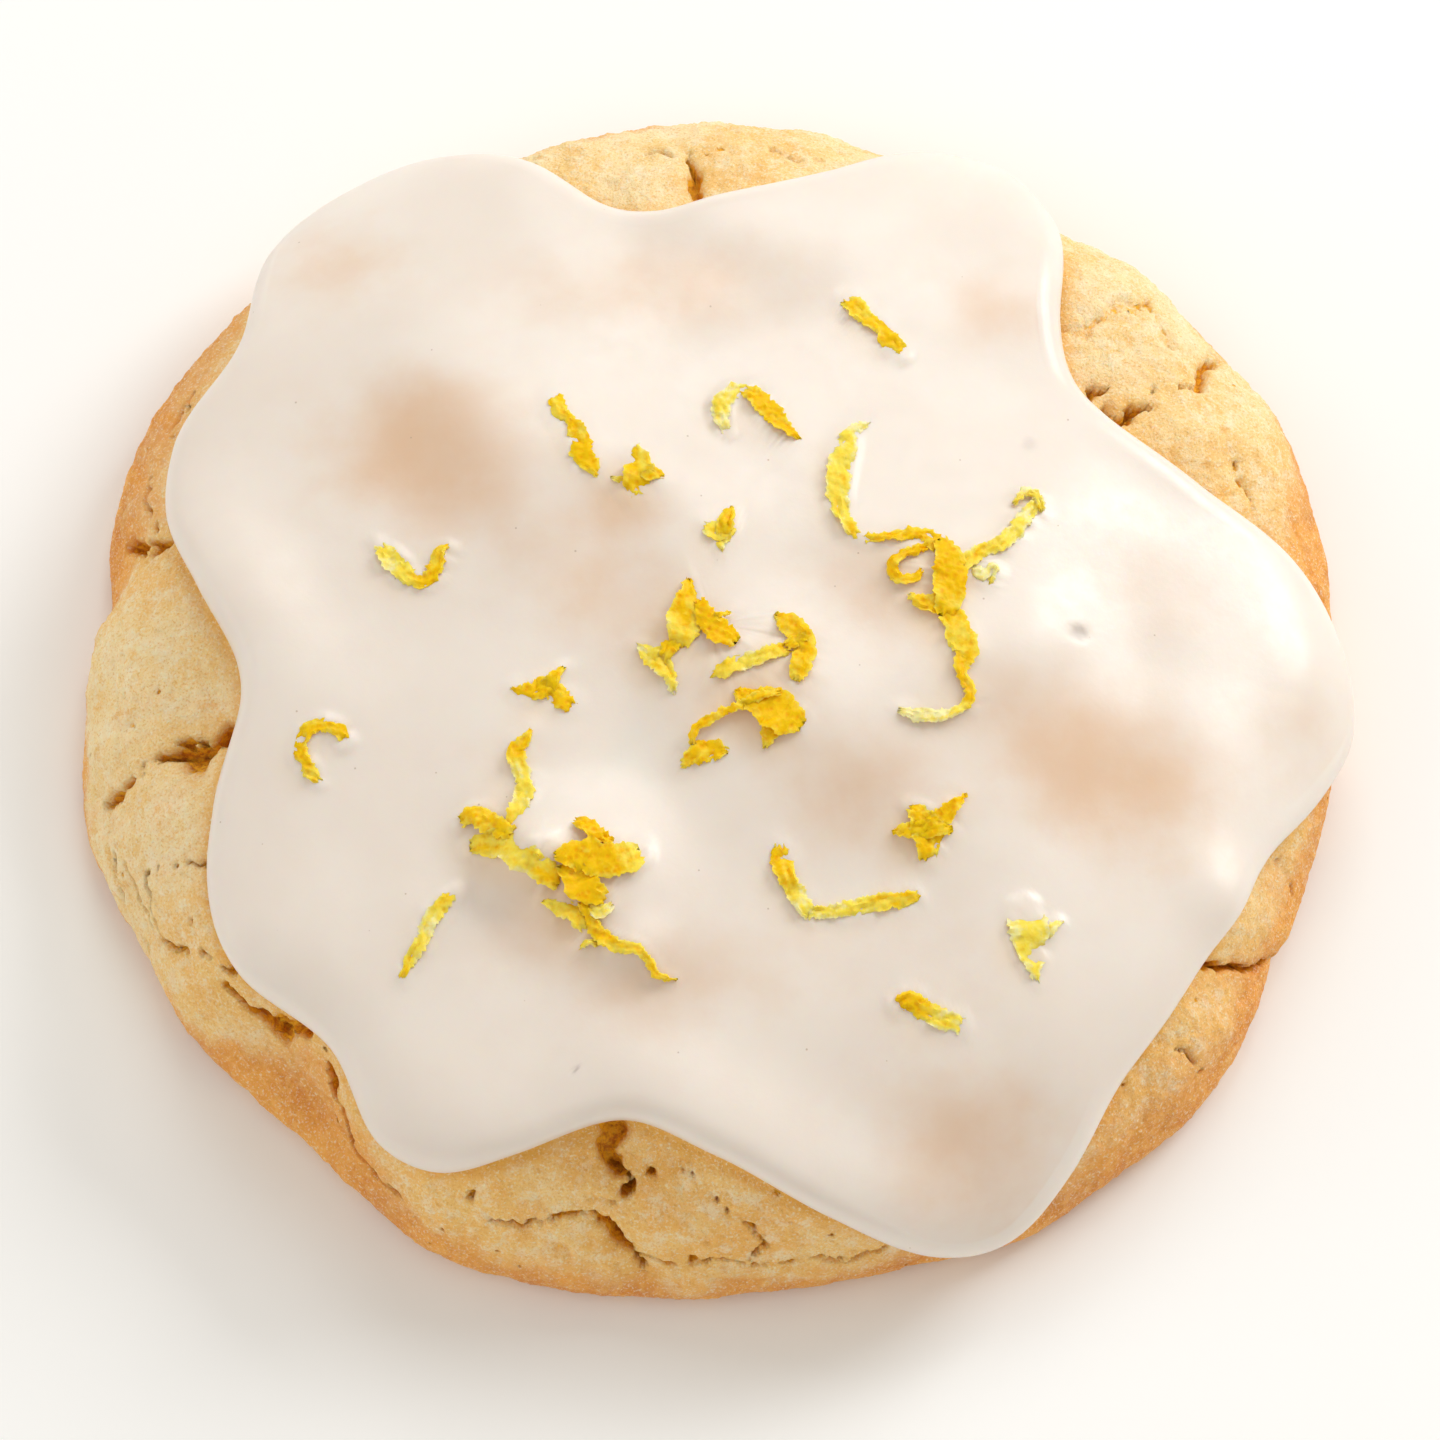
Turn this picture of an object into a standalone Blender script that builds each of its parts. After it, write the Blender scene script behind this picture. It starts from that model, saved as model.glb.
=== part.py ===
"""A soft lemon cookie: a cracked, domed crumb, a poured white icing and shreds of lemon zest on it.

Metres, +Z up. The origin is the middle of the footprint, on the surface that the cookie lies on.
+X runs to the cookie's right and +Y to its back. A place on the dome is an angle round it, called
turn, and an angle down its profile, called fall, which is 0 at the crown and a right angle where
the cookie is widest. Angles in the lists are in degrees.
"""

import math

import bmesh
import bpy
import numpy as np
from mathutils import Matrix, noise

# Sizes of the crumb
COOKIE_RADIUS = 0.0376
CROWN_HEIGHT = 0.0148
WIDEST_HEIGHT = 0.0015
BASE_INSET = 0.0016
BASE_RING_SHARE = 0.6
PLAN_POWER = 2.8

# The rim's bulges and flats: angle, spread in degrees, rise
RIM_BULGES = (
    (27, 17, 0.0014),
    (48, 8, 0.0004),
    (62, 12, -0.0006),
    (88, 18, 0.0005),
    (138, 24, 0.0011),
    (158, 14, 0.0006),
    (170, 3, -0.0009),
    (190, 9, 0.0011),
    (232, 10, -0.0004),
    (243, 7, 0.0005),
    (280, 13, -0.0009),
    (299, 7, 0.0007),
    (318, 9, 0.0009),
    (350, 8, -0.0001),
)

# Puffed lumps and hollows of the dough: turn, fall, radius, rise
LUMPS = (
    (176, 62, 0.0052, 0.0011),
    (197, 62, 0.0050, 0.0010),
    (211, 64, 0.0045, 0.0007),
    (222, 70, 0.0038, -0.0020),
    (228, 78, 0.0030, -0.0010),
    (252, 58, 0.0075, 0.0009),
    (276, 60, 0.0065, 0.0008),
    (322, 62, 0.0070, 0.0005),
    (28, 56, 0.0060, 0.0008),
    (45, 60, 0.0050, 0.0006),
    (84, 56, 0.0055, 0.0005),
    (103, 60, 0.0050, 0.0005),
    (150, 66, 0.0060, 0.0004),
)

# Cracks in the crust: width, depth, then the turn and fall of each point along the crack
CRACKS = (
    (0.0011, 0.0024, (166, 48), (168, 62), (169, 90)),
    (0.0013, 0.0026, (186, 42), (187, 56), (189, 72), (189, 90)),
    (0.0010, 0.0020, (212, 52), (215, 64), (220, 76)),
    (0.0013, 0.0024, (258, 40), (260, 50), (261, 58), (258, 66), (259, 78)),
    (0.0008, 0.0014, (261, 56), (265, 50)),
    (0.0007, 0.0010, (262, 78), (272, 76), (283, 74)),
    (0.0009, 0.0016, (334, 60), (336, 72), (336, 90)),
    (0.0009, 0.0015, (37, 40), (36, 48), (31, 52), (33, 66)),
    (0.0010, 0.0008, (44, 44), (40, 56), (38, 68)),
    (0.0007, 0.0010, (24, 50), (21, 60), (17, 62)),
    (0.0010, 0.0014, (93, 42), (92, 56), (94, 72)),
    (0.0009, 0.0011, (112, 66), (113, 90)),
    (0.0008, 0.0010, (300, 74), (302, 90)),
    (0.0008, 0.0011, (62, 70), (64, 90)),
    (0.0008, 0.0010, (140, 70), (141, 90)),
)
CRACK_WANDER = 0.0008
CRAG_SIZE = 0.0046
CRAG_DEPTH = 0.0009
CRAG_SEED = (11.0, 5.0, 2.0)

# The icing: how far down the dome its edge runs, as a turn and a share of the rim's radius
ICING_REACH = (
    (2, 0.985),
    (11, 0.955),
    (21, 0.843),
    (33, 0.757),
    (39, 0.753),
    (46, 0.805),
    (54, 0.935),
    (62, 0.985),
    (70, 0.955),
    (78, 0.858),
    (90, 0.788),
    (97, 0.773),
    (103, 0.810),
    (109, 0.915),
    (116, 0.975),
    (125, 0.986),
    (135, 0.970),
    (144, 0.930),
    (157, 0.928),
    (164, 0.895),
    (172, 0.810),
    (187, 0.752),
    (198, 0.832),
    (203, 0.868),
    (215, 0.898),
    (227, 0.880),
    (237, 0.930),
    (243, 0.920),
    (249, 0.872),
    (260, 0.792),
    (270, 0.826),
    (281, 0.916),
    (290, 0.980),
    (297, 0.987),
    (304, 0.972),
    (314, 0.928),
    (332, 0.915),
    (340, 0.930),
    (348, 0.970),
    (355, 0.985),
)
MOST_REACH = 0.992
ICING_THICKNESS = 0.0013
BEAD_RISE = 0.0004
BEAD_REACH = 0.0045
EDGE_ROLL = 0.0016
EDGE_TUCK = math.radians(35)
ICING_GAP = 0.0003

# Low swells of the iced surface: x, y, long radius, short radius, heading, rise
SWELLS = (
    (-0.0090, 0.0125, 0.0095, 0.0045, -33, 0.0010),
    (-0.0070, -0.0145, 0.0060, 0.0050, -20, 0.0011),
    (0.0040, -0.0020, 0.0055, 0.0040, -30, 0.0007),
    (0.0155, 0.0065, 0.0085, 0.0055, -15, 0.0009),
    (0.0180, 0.0230, 0.0060, 0.0050, 0, 0.0006),
    (-0.0015, 0.0240, 0.0080, 0.0050, 0, 0.0006),
    (0.0265, -0.0035, 0.0080, 0.0060, 60, 0.0008),
    (0.0150, -0.0280, 0.0070, 0.0060, 20, 0.0006),
    (-0.0190, 0.0235, 0.0080, 0.0060, 40, 0.0006),
    (-0.0240, -0.0100, 0.0070, 0.0050, 70, 0.0004),
)

# The view in which the zest was read: a picture that looks down at the cookie from the front
VIEW_ELEVATION = math.radians(70)
VIEW_DISTANCE = 1.0
VIEW_TARGET_HEIGHT = 0.005
VIEW_PIXELS_PER_METRE = 16580
VIEW_ORIGIN_PIXEL = (715, 694)

# Shreds of zest by where they start, pass and end in that view, in pixels, then the width at each end
ZEST = (
    ((845, 302), (858, 318), (874, 330), 0.0013, 0.0015),
    ((872, 326), (888, 340), (902, 356), 0.0016, 0.0013),
    ((724, 428), (728, 400), (752, 392), 0.0013, 0.0015),
    ((748, 392), (772, 412), (797, 440), 0.0016, 0.0010),
    ((556, 404), (566, 416), (582, 424), 0.0011, 0.0011),
    ((576, 424), (584, 450), (598, 478), 0.0014, 0.0015),
    ((636, 452), (644, 474), (630, 494), 0.0014, 0.0022),
    ((732, 512), (714, 528), (722, 550), 0.0012, 0.0013),
    ((388, 546), (400, 574), (428, 584), 0.0014, 0.0013),
    ((424, 584), (440, 566), (452, 548), 0.0013, 0.0012),
    ((688, 586), (684, 620), (668, 652), 0.0014, 0.0024),
    ((694, 600), (712, 624), (734, 640), 0.0015, 0.0018),
    ((642, 650), (662, 664), (674, 690), 0.0017, 0.0011),
    ((714, 674), (748, 662), (786, 650), 0.0011, 0.0014),
    ((784, 618), (802, 648), (796, 678), 0.0020, 0.0019),
    ((694, 764), (700, 732), (752, 706), 0.0009, 0.0010),
    ((748, 694), (776, 712), (792, 742), 0.0022, 0.0019),
    ((690, 764), (704, 752), (722, 752), 0.0013, 0.0019),
    ((515, 687), (540, 686), (572, 706), 0.0010, 0.0014),
    ((318, 778), (312, 742), (350, 736), 0.0010, 0.0011),
    ((860, 432), (834, 486), (852, 532), 0.0016, 0.0014),
    ((850, 530), (884, 546), (930, 538), 0.0010, 0.0014),
    ((892, 578), (900, 558), (936, 562), 0.0015, 0.0014),
    ((932, 548), (940, 582), (936, 612), 0.0022, 0.0024),
    ((906, 612), (926, 606), (950, 594), 0.0012, 0.0013),
    ((946, 606), (954, 640), (964, 668), 0.0021, 0.0018),
    ((962, 666), (968, 712), (902, 712), 0.0011, 0.0010),
    ((958, 574), (996, 552), (1030, 506), 0.0012, 0.0018),
    ((524, 736), (530, 778), (510, 816), 0.0011, 0.0012),
    ((472, 816), (516, 836), (570, 868), 0.0018, 0.0020),
    ((566, 866), (592, 846), (608, 828), 0.0018, 0.0016),
    ((582, 868), (612, 861), (642, 850), 0.0020, 0.0018),
    ((578, 850), (584, 880), (598, 908), 0.0022, 0.0018),
    ((552, 896), (576, 908), (606, 936), 0.0015, 0.0013),
    ((600, 932), (648, 938), (674, 976), 0.0013, 0.0007),
    ((456, 892), (438, 924), (412, 970), 0.0010, 0.0009),
    ((776, 850), (788, 888), (814, 914), 0.0015, 0.0012),
    ((808, 914), (858, 908), (914, 897), 0.0011, 0.0013),
    ((896, 832), (926, 822), (958, 798), 0.0014, 0.0014),
    ((924, 812), (918, 834), (926, 856), 0.0018, 0.0015),
    ((1016, 916), (1020, 940), (1026, 968), 0.0025, 0.0013),
    ((896, 998), (924, 1002), (956, 1020), 0.0012, 0.0013),
)
ZEST_THICKNESS = 0.0005
ZEST_SINK = 0.0001
ZEST_ARCH = 0.0004
ZEST_STATIONS = 6

# Faces that meet at more than this angle have a crisp edge between them
SHARP_ANGLE = math.radians(35)

# Points round each solid near its edge, and round both of them near the crown
CRUMB_RING = 192
ICING_RING = 144
CROWN_RING = 48


def rim_radius(turn):
    """The widest radius at each turn, with its bulges and flats."""
    radius = np.full(np.shape(turn), COOKIE_RADIUS)
    for angle, spread, rise in RIM_BULGES:
        away = (np.degrees(turn) - angle + 180) % 360 - 180
        radius = radius + rise * np.exp(-((away / spread) ** 2))
    return radius


def dome(turn, fall):
    """The plain dome, before its lumps: points as rows of x, y, z."""
    radius = rim_radius(turn) * np.sin(fall) ** (2 / PLAN_POWER)
    height = WIDEST_HEIGHT + (CROWN_HEIGHT - WIDEST_HEIGHT) * np.cos(fall)
    return np.stack([radius * np.cos(turn), radius * np.sin(turn), height], axis=-1)


def fall_of_share(share):
    """How far down the profile the dome has this share of the rim's radius."""
    return np.arcsin(np.clip(share, 0, 1) ** (PLAN_POWER / 2))


def unit(vectors):
    return vectors / np.linalg.norm(vectors, axis=-1, keepdims=True)


def dome_normal(turn, fall):
    step = 0.002
    fall = np.clip(fall, 0.02, math.pi / 2 - 2 * step)
    across = dome(turn + step, fall) - dome(turn - step, fall)
    down = dome(turn, fall + step) - dome(turn, fall - step)
    return unit(np.cross(down, across))


def swell_height(points):
    """The low swells, which the icing follows."""
    total = np.zeros(len(points))
    for x, y, long_radius, short_radius, heading, rise in SWELLS:
        way = math.radians(heading)
        along = (points[:, 0] - x) * math.cos(way) + (points[:, 1] - y) * math.sin(way)
        aside = (points[:, 1] - y) * math.cos(way) - (points[:, 0] - x) * math.sin(way)
        total += rise * np.exp(-((along / long_radius) ** 2) - (aside / short_radius) ** 2)
    return total


def lump_height(points):
    """The puffed lumps and hollows round the edge of the dome."""
    total = np.zeros(len(points))
    for turn, fall, radius, rise in LUMPS:
        middle = dome(np.radians([turn]), np.radians([fall]))
        total += rise * np.exp(-(((points - middle) / radius) ** 2).sum(axis=1))
    return total


def surface(turn, fall, lift=0.0):
    """The dome with its swells and lumps, raised by lift along its normal."""
    plain = dome(turn, fall)
    rise = swell_height(plain) * np.cos(fall) + lump_height(plain)
    return plain + dome_normal(turn, fall) * (rise + lift)[:, None]


def noise_vectors(points, size):
    return np.array([noise.noise_vector(point / size) for point in points])


def crack_depth(points):
    """How deep the cracks go at points of the plain dome."""
    points = points + CRACK_WANDER * noise_vectors(points, CRAG_SIZE)
    depth = np.zeros(len(points))
    for width, deepest, *route in CRACKS:
        turns, falls = np.radians(route).T
        stops = dome(turns, falls)
        for start, end in zip(stops, stops[1:]):
            run = end - start
            share = np.clip((points - start) @ run / (run @ run), 0, 1)
            away = np.linalg.norm(points - start - share[:, None] * run, axis=1)
            depth = np.maximum(depth, deepest * np.exp(-((away / width) ** 2)))
    return depth


def crag_depth(points):
    """Rough crust between the cracks: dents only, so that the crumb stays under the icing."""
    return np.array(
        [
            CRAG_DEPTH * (0.5 - 0.5 * noise.fractal(point / CRAG_SIZE + CRAG_SEED, 1.0, 2.0, 3))
            for point in points
        ]
    )


def bare(turn, fall, edge):
    """Which points are outside the icing's edge, from 0 under it to 1 well clear of it."""
    return np.clip((fall - edge) / math.radians(6), 0, 1)


def crumb_surface(turn, fall, edge):
    """The crust itself: the surface with its cracks and crags, where no icing lies on it."""
    plain = dome(turn, fall)
    depth = np.maximum(crack_depth(plain), np.clip(crag_depth(plain), 0, CRAG_DEPTH))
    return surface(turn, fall) - dome_normal(turn, fall) * (depth * bare(turn, fall, edge))[:, None]


def icing_edge(turn):
    """The fall of the icing's edge at each turn: a smooth closed curve through ICING_REACH."""
    angles, shares = np.array(ICING_REACH, float).T
    angles = np.radians(np.concatenate([angles[-2:] - 360, angles, angles[:3] + 360]))
    shares = np.concatenate([shares[-2:], shares, shares[:3]])
    slopes = np.gradient(shares, angles)
    turn = np.mod(turn, 2 * math.pi)
    left = np.clip(np.searchsorted(angles, turn, side="right") - 1, 0, len(angles) - 2)
    width = angles[left + 1] - angles[left]
    t = (turn - angles[left]) / width
    share = (
        (2 * t**3 - 3 * t**2 + 1) * shares[left]
        + (t**3 - 2 * t**2 + t) * width * slopes[left]
        + (3 * t**2 - 2 * t**3) * shares[left + 1]
        + (t**3 - t**2) * width * slopes[left + 1]
    )
    return fall_of_share(np.minimum(share, MOST_REACH))


def step_inwards(turn, fall, inset):
    """The place that lies this far in from the icing's edge, square to the edge."""
    step = 0.002
    edge_slope = (icing_edge(turn + step) - icing_edge(turn - step)) / (2 * step)
    radius = np.linalg.norm(dome(turn, fall)[:, :2], axis=1)
    down = np.linalg.norm(dome(turn, fall) - dome(turn, fall - step), axis=1) / step
    length = np.hypot(radius, edge_slope * down)
    return (
        turn + inset * edge_slope * down / (length * radius),
        fall - inset * radius / (length * down),
    )


def icing_lift(inset):
    """The icing's thickness this far in from its rolled edge: it stands proud there in a bead."""
    return ICING_THICKNESS + BEAD_RISE * np.exp(-((inset / BEAD_REACH) ** 2))


def edge_roll(angle):
    """The inset and height on the rolled edge, from its tucked foot to the top of its bead."""
    top = ICING_THICKNESS + BEAD_RISE
    half = top / (1 + math.sin(EDGE_TUCK))
    return EDGE_ROLL * (1 - math.cos(angle)), half * (math.sin(EDGE_TUCK) + math.sin(angle))


def ring_turns(count):
    return np.arange(count) * 2 * math.pi / count


def foot_of_icing(turn):
    """Where the icing's tucked foot meets the crumb."""
    return step_inwards(turn, icing_edge(turn), edge_roll(-EDGE_TUCK)[0])


def towards_crown(count, share, place):
    """A ring that is this share of the way from the crown to a place that depends on the turn."""
    turn = ring_turns(count)
    end_turn, end_fall = place(turn)
    return turn + (end_turn - turn) * share, end_fall * share


def join_rings(mesh, inner, outer):
    """Triangles between two rings, where the outer one has a whole number of times the points."""
    step = len(outer) // len(inner)
    middle = (step + 1) // 2
    for i, first in enumerate(inner):
        second = inner[(i + 1) % len(inner)]
        run = [outer[(i * step + k) % len(outer)] for k in range(step + 1)]
        for k in range(step):
            mesh.faces.new((first if k < middle else second, run[k], run[k + 1]))
        mesh.faces.new((first, run[middle], second))


def close_ring(mesh, ring, middle):
    for i, point in enumerate(ring):
        mesh.faces.new((middle, point, ring[(i + 1) % len(ring)]))


def object_from_rings(name, rings, first_point, last_point, material):
    """A closed solid over rings of points. Of two neighbours, one may have several times the points."""
    shape = bmesh.new()
    loops = [[shape.verts.new(point) for point in ring] for ring in rings]
    close_ring(shape, loops[0], shape.verts.new(first_point))
    for inner, outer in zip(loops, loops[1:]):
        if len(inner) <= len(outer):
            join_rings(shape, inner, outer)
        else:
            join_rings(shape, outer, inner)
    close_ring(shape, loops[-1], shape.verts.new(last_point))
    bmesh.ops.recalc_face_normals(shape, faces=shape.faces)
    return object_from_bmesh(name, shape, material)


def object_from_bmesh(name, shape, material):
    mesh = bpy.data.meshes.new(name)
    shape.to_mesh(mesh)
    shape.free()
    mesh.materials.append(material)
    shade(mesh)
    made = bpy.data.objects.new(name, mesh)
    bpy.context.scene.collection.objects.link(made)
    return made


def shade(mesh):
    """Smooth shading, with the crisp edges of the shreds left sharp."""
    mesh.shade_smooth()
    mesh.set_sharp_from_angle(angle=SHARP_ANGLE)


def plain_material(name, colour, roughness):
    material = bpy.data.materials.new(name)
    material.use_nodes = True
    shader = material.node_tree.nodes["Principled BSDF"]
    shader.inputs["Base Color"].default_value = (*colour, 1)
    shader.inputs["Roughness"].default_value = roughness
    shader.inputs["Metallic"].default_value = 0
    return material


def make_crumb():
    """The baked crumb: a domed top, a rounded lower edge and a flat base."""
    rings = []
    for count, share in ((CROWN_RING, 0.3), (CROWN_RING, 0.6), (CRUMB_RING, 0.85), (CRUMB_RING, 1.0)):
        rings.append(surface(*towards_crown(count, share, foot_of_icing)))
    turn = ring_turns(CRUMB_RING)
    foot_turn, foot_fall = foot_of_icing(turn)
    for share in (0.07, 0.17, 0.28, 0.39, 0.50, 0.61, 0.72, 0.83, 0.92, 1.0):
        fall = foot_fall + (math.pi / 2 - foot_fall) * share
        rings.append(crumb_surface(foot_turn + (turn - foot_turn) * share, fall, foot_fall))
    widest = rings[-1]
    for angle in np.radians((35, 65, 90)):
        ring = widest * (1 - BASE_INSET / COOKIE_RADIUS * (1 - math.cos(angle)))
        ring[:, 2] = widest[:, 2] * (1 - math.sin(angle))
        rings.append(ring)
    rings.append(rings[-1][:: CRUMB_RING // CROWN_RING] * BASE_RING_SHARE)
    material = plain_material("crumb", (0.80, 0.55, 0.27), 0.8)
    return object_from_rings("cookie", rings, (0, 0, crown_height()), (0, 0, 0), material)


def make_icing():
    """The icing without its zest: a skin that follows the dome and ends in a rolled bead."""
    turn = ring_turns(ICING_RING)
    rings = []
    for count, share in ((CROWN_RING, 0.3), (CROWN_RING, 0.6), (ICING_RING, 0.85), (ICING_RING, 1.0)):
        rings.append(surface(*towards_crown(count, share, foot_of_icing), ICING_GAP))
    for degrees in (0, 30, 60, 90):
        inset, height = edge_roll(math.radians(degrees))
        rings.append(surface(*step_inwards(turn, icing_edge(turn), inset), ICING_GAP + height))
    for count, share in (
        (ICING_RING, 0.9),
        (ICING_RING, 0.78),
        (CROWN_RING, 0.64),
        (CROWN_RING, 0.48),
        (CROWN_RING, 0.32),
        (CROWN_RING, 0.16),
    ):
        place = towards_crown(count, share, end_of_roll)
        inset = COOKIE_RADIUS * (1 - share) * 0.8
        rings.append(surface(*place, ICING_GAP + icing_lift(inset)))
    under = (0, 0, crown_height() + ICING_GAP)
    over = (0, 0, crown_height() + ICING_GAP + ICING_THICKNESS)
    material = plain_material("icing", (0.90, 0.86, 0.79), 0.3)
    return object_from_rings("icing", rings, under, over, material)


def end_of_roll(turn):
    return step_inwards(turn, icing_edge(turn), EDGE_ROLL)


def crown_height():
    return CROWN_HEIGHT + swell_height(np.zeros((1, 3)))[0]


def icing_top(x, y):
    """A point of the icing's top over a place in plan, and the normal there."""
    turn = np.arctan2([y], [x])
    share = math.hypot(x, y) / rim_radius(turn)
    fall = fall_of_share(share)
    return surface(turn, fall, ICING_GAP + ICING_THICKNESS)[0], dome_normal(turn, fall)[0]


def on_icing(pixel):
    """Where the line of sight through a pixel of the view meets the icing's top, as x and y."""
    sine, cosine = math.sin(VIEW_ELEVATION), math.cos(VIEW_ELEVATION)
    eye = np.array([0, -cosine, sine]) * VIEW_DISTANCE + (0, 0, VIEW_TARGET_HEIGHT)
    right = (pixel[0] - VIEW_ORIGIN_PIXEL[0]) / VIEW_PIXELS_PER_METRE
    up = (VIEW_ORIGIN_PIXEL[1] - pixel[1]) / VIEW_PIXELS_PER_METRE
    seen = np.array([right, up * sine, up * cosine + VIEW_TARGET_HEIGHT])
    height = CROWN_HEIGHT
    for _ in range(8):
        spot = eye + (seen - eye) * (eye[2] - height) / (eye[2] - seen[2])
        height = icing_top(spot[0], spot[1])[0][2]
    return spot[:2]


def make_shred(index, start, middle, end, start_width, end_width):
    """One strip of zest that bends through three places, half sunk in the icing."""
    first, second, third = (on_icing(pixel) for pixel in (start, middle, end))
    control = 2 * second - (first + third) / 2
    phase = 1.7 * index
    shape = bmesh.new()
    loops = []
    for t in np.linspace(0, 1, ZEST_STATIONS):
        x, y = (1 - t) ** 2 * first + 2 * t * (1 - t) * control + t**2 * third
        ahead = 2 * (1 - t) * (control - first) + 2 * t * (third - control)
        point, normal = icing_top(x, y)
        side = unit(np.cross(normal, (*ahead, 0)))
        lean = 0.35 * math.sin(4 * t + phase)
        flat = side * math.cos(lean) + normal * math.sin(lean)
        over = unit(np.cross((*ahead, 0), flat))
        ragged = 1 + 0.22 * math.sin(9 * t + 2 * phase)
        taper = min(1, 0.55 + 3 * min(t, 1 - t))
        half = (start_width + (end_width - start_width) * t) / 2 * ragged * taper
        lift = ZEST_ARCH * math.sin(math.pi * t) - ZEST_SINK + ZEST_THICKNESS / 2
        centre = point + normal * lift
        corners = ((1, 1), (-1, 1), (-1, -1), (1, -1))
        loops.append(
            [shape.verts.new(centre + flat * half * a + over * ZEST_THICKNESS / 2 * b) for a, b in corners]
        )
    for ring, following in zip(loops, loops[1:]):
        join_rings(shape, ring, following)
    shape.faces.new(loops[0])
    shape.faces.new(loops[-1])
    bmesh.ops.recalc_face_normals(shape, faces=shape.faces)
    return object_from_bmesh(f"shred_{index:02d}", shape, bpy.data.materials["icing"])


def fuse(base, pieces):
    """Joins the pieces to the base in one Boolean union and removes them."""
    group = bpy.data.collections.new("pieces")
    bpy.context.scene.collection.children.link(group)
    for piece in pieces:
        bpy.context.scene.collection.objects.unlink(piece)
        group.objects.link(piece)
    union = base.modifiers.new("union", "BOOLEAN")
    union.operation = "UNION"
    union.solver = "EXACT"
    union.operand_type = "COLLECTION"
    union.collection = group
    graph = bpy.context.evaluated_depsgraph_get()
    fused = bpy.data.meshes.new_from_object(base.evaluated_get(graph))
    base.modifiers.clear()
    base.data = fused
    shade(fused)
    for piece in pieces:
        bpy.data.objects.remove(piece)
    bpy.data.collections.remove(group)


def centre_on_origin(pieces):
    """Moves the pieces so that their common box has its middle over the origin."""
    points = np.array([vertex.co for piece in pieces for vertex in piece.data.vertices])
    middle = (points.min(axis=0) + points.max(axis=0)) / 2
    for piece in pieces:
        piece.data.transform(Matrix.Translation((-middle[0], -middle[1], 0)))


def main():
    for leftover in list(bpy.data.objects):
        bpy.data.objects.remove(leftover)
    crumb = make_crumb()
    icing = make_icing()
    fuse(icing, [make_shred(index, *shred) for index, shred in enumerate(ZEST)])
    centre_on_origin((crumb, icing))


main()
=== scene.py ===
import math

import bmesh
import bpy
import numpy as np
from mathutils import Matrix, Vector


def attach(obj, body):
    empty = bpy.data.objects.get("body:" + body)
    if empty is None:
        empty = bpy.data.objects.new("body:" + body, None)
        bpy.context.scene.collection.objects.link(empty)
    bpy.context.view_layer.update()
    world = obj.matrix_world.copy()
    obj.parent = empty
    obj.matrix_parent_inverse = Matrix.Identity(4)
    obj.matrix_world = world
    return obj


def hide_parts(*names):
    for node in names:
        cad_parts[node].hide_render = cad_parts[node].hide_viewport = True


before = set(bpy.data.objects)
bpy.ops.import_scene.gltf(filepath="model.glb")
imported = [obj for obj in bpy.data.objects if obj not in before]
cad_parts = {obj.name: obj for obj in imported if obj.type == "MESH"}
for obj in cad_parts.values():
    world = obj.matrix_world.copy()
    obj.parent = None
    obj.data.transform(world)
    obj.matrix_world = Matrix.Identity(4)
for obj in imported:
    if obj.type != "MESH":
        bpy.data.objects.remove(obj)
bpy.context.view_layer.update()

# Lengths are in metres, or in hundredths of a millimetre where a table gives them as whole numbers
TABLE_UNIT = 100000

# The dome that the solids are built on. Turn goes round it and fall goes down its profile
COOKIE_RADIUS = 0.0376
CROWN_HEIGHT = 0.0148
WIDEST_HEIGHT = 0.0015
BASE_INSET = 0.0016
PLAN_POWER = 2.8

# The middle of the solids' common box, measured from the dome's own axis
BOX_MIDDLE = np.array([0.0002783, 0.0000501, 0.0])

# The rim's bulges and flats: angle, spread in degrees, rise
RIM_BULGES = (
    (27, 17, 140), (48, 8, 40), (62, 12, -60), (88, 18, 50), (138, 24, 110), (158, 14, 60), (170, 3, -90),
    (190, 9, 110), (232, 10, -40), (243, 7, 50), (280, 13, -90), (299, 7, 70), (318, 9, 90),
    (350, 8, -10),
)

# Bulges narrower than this many degrees shape the rim alone, and start and end at these falls
NARROW_BULGE = 5
NARROW_FALLS = (math.radians(52), math.radians(80))

# Puffed lumps and hollows of the dough: turn, fall, radius, rise
LUMPS = (
    (176, 62, 520, 110), (197, 62, 500, 100), (211, 64, 450, 70), (222, 70, 380, -200),
    (228, 78, 300, -100), (252, 58, 750, 90), (276, 60, 650, 80), (322, 62, 700, 50), (28, 56, 600, 80),
    (45, 60, 500, 60), (84, 56, 550, 50), (103, 60, 500, 50), (150, 66, 600, 40),
)

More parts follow.
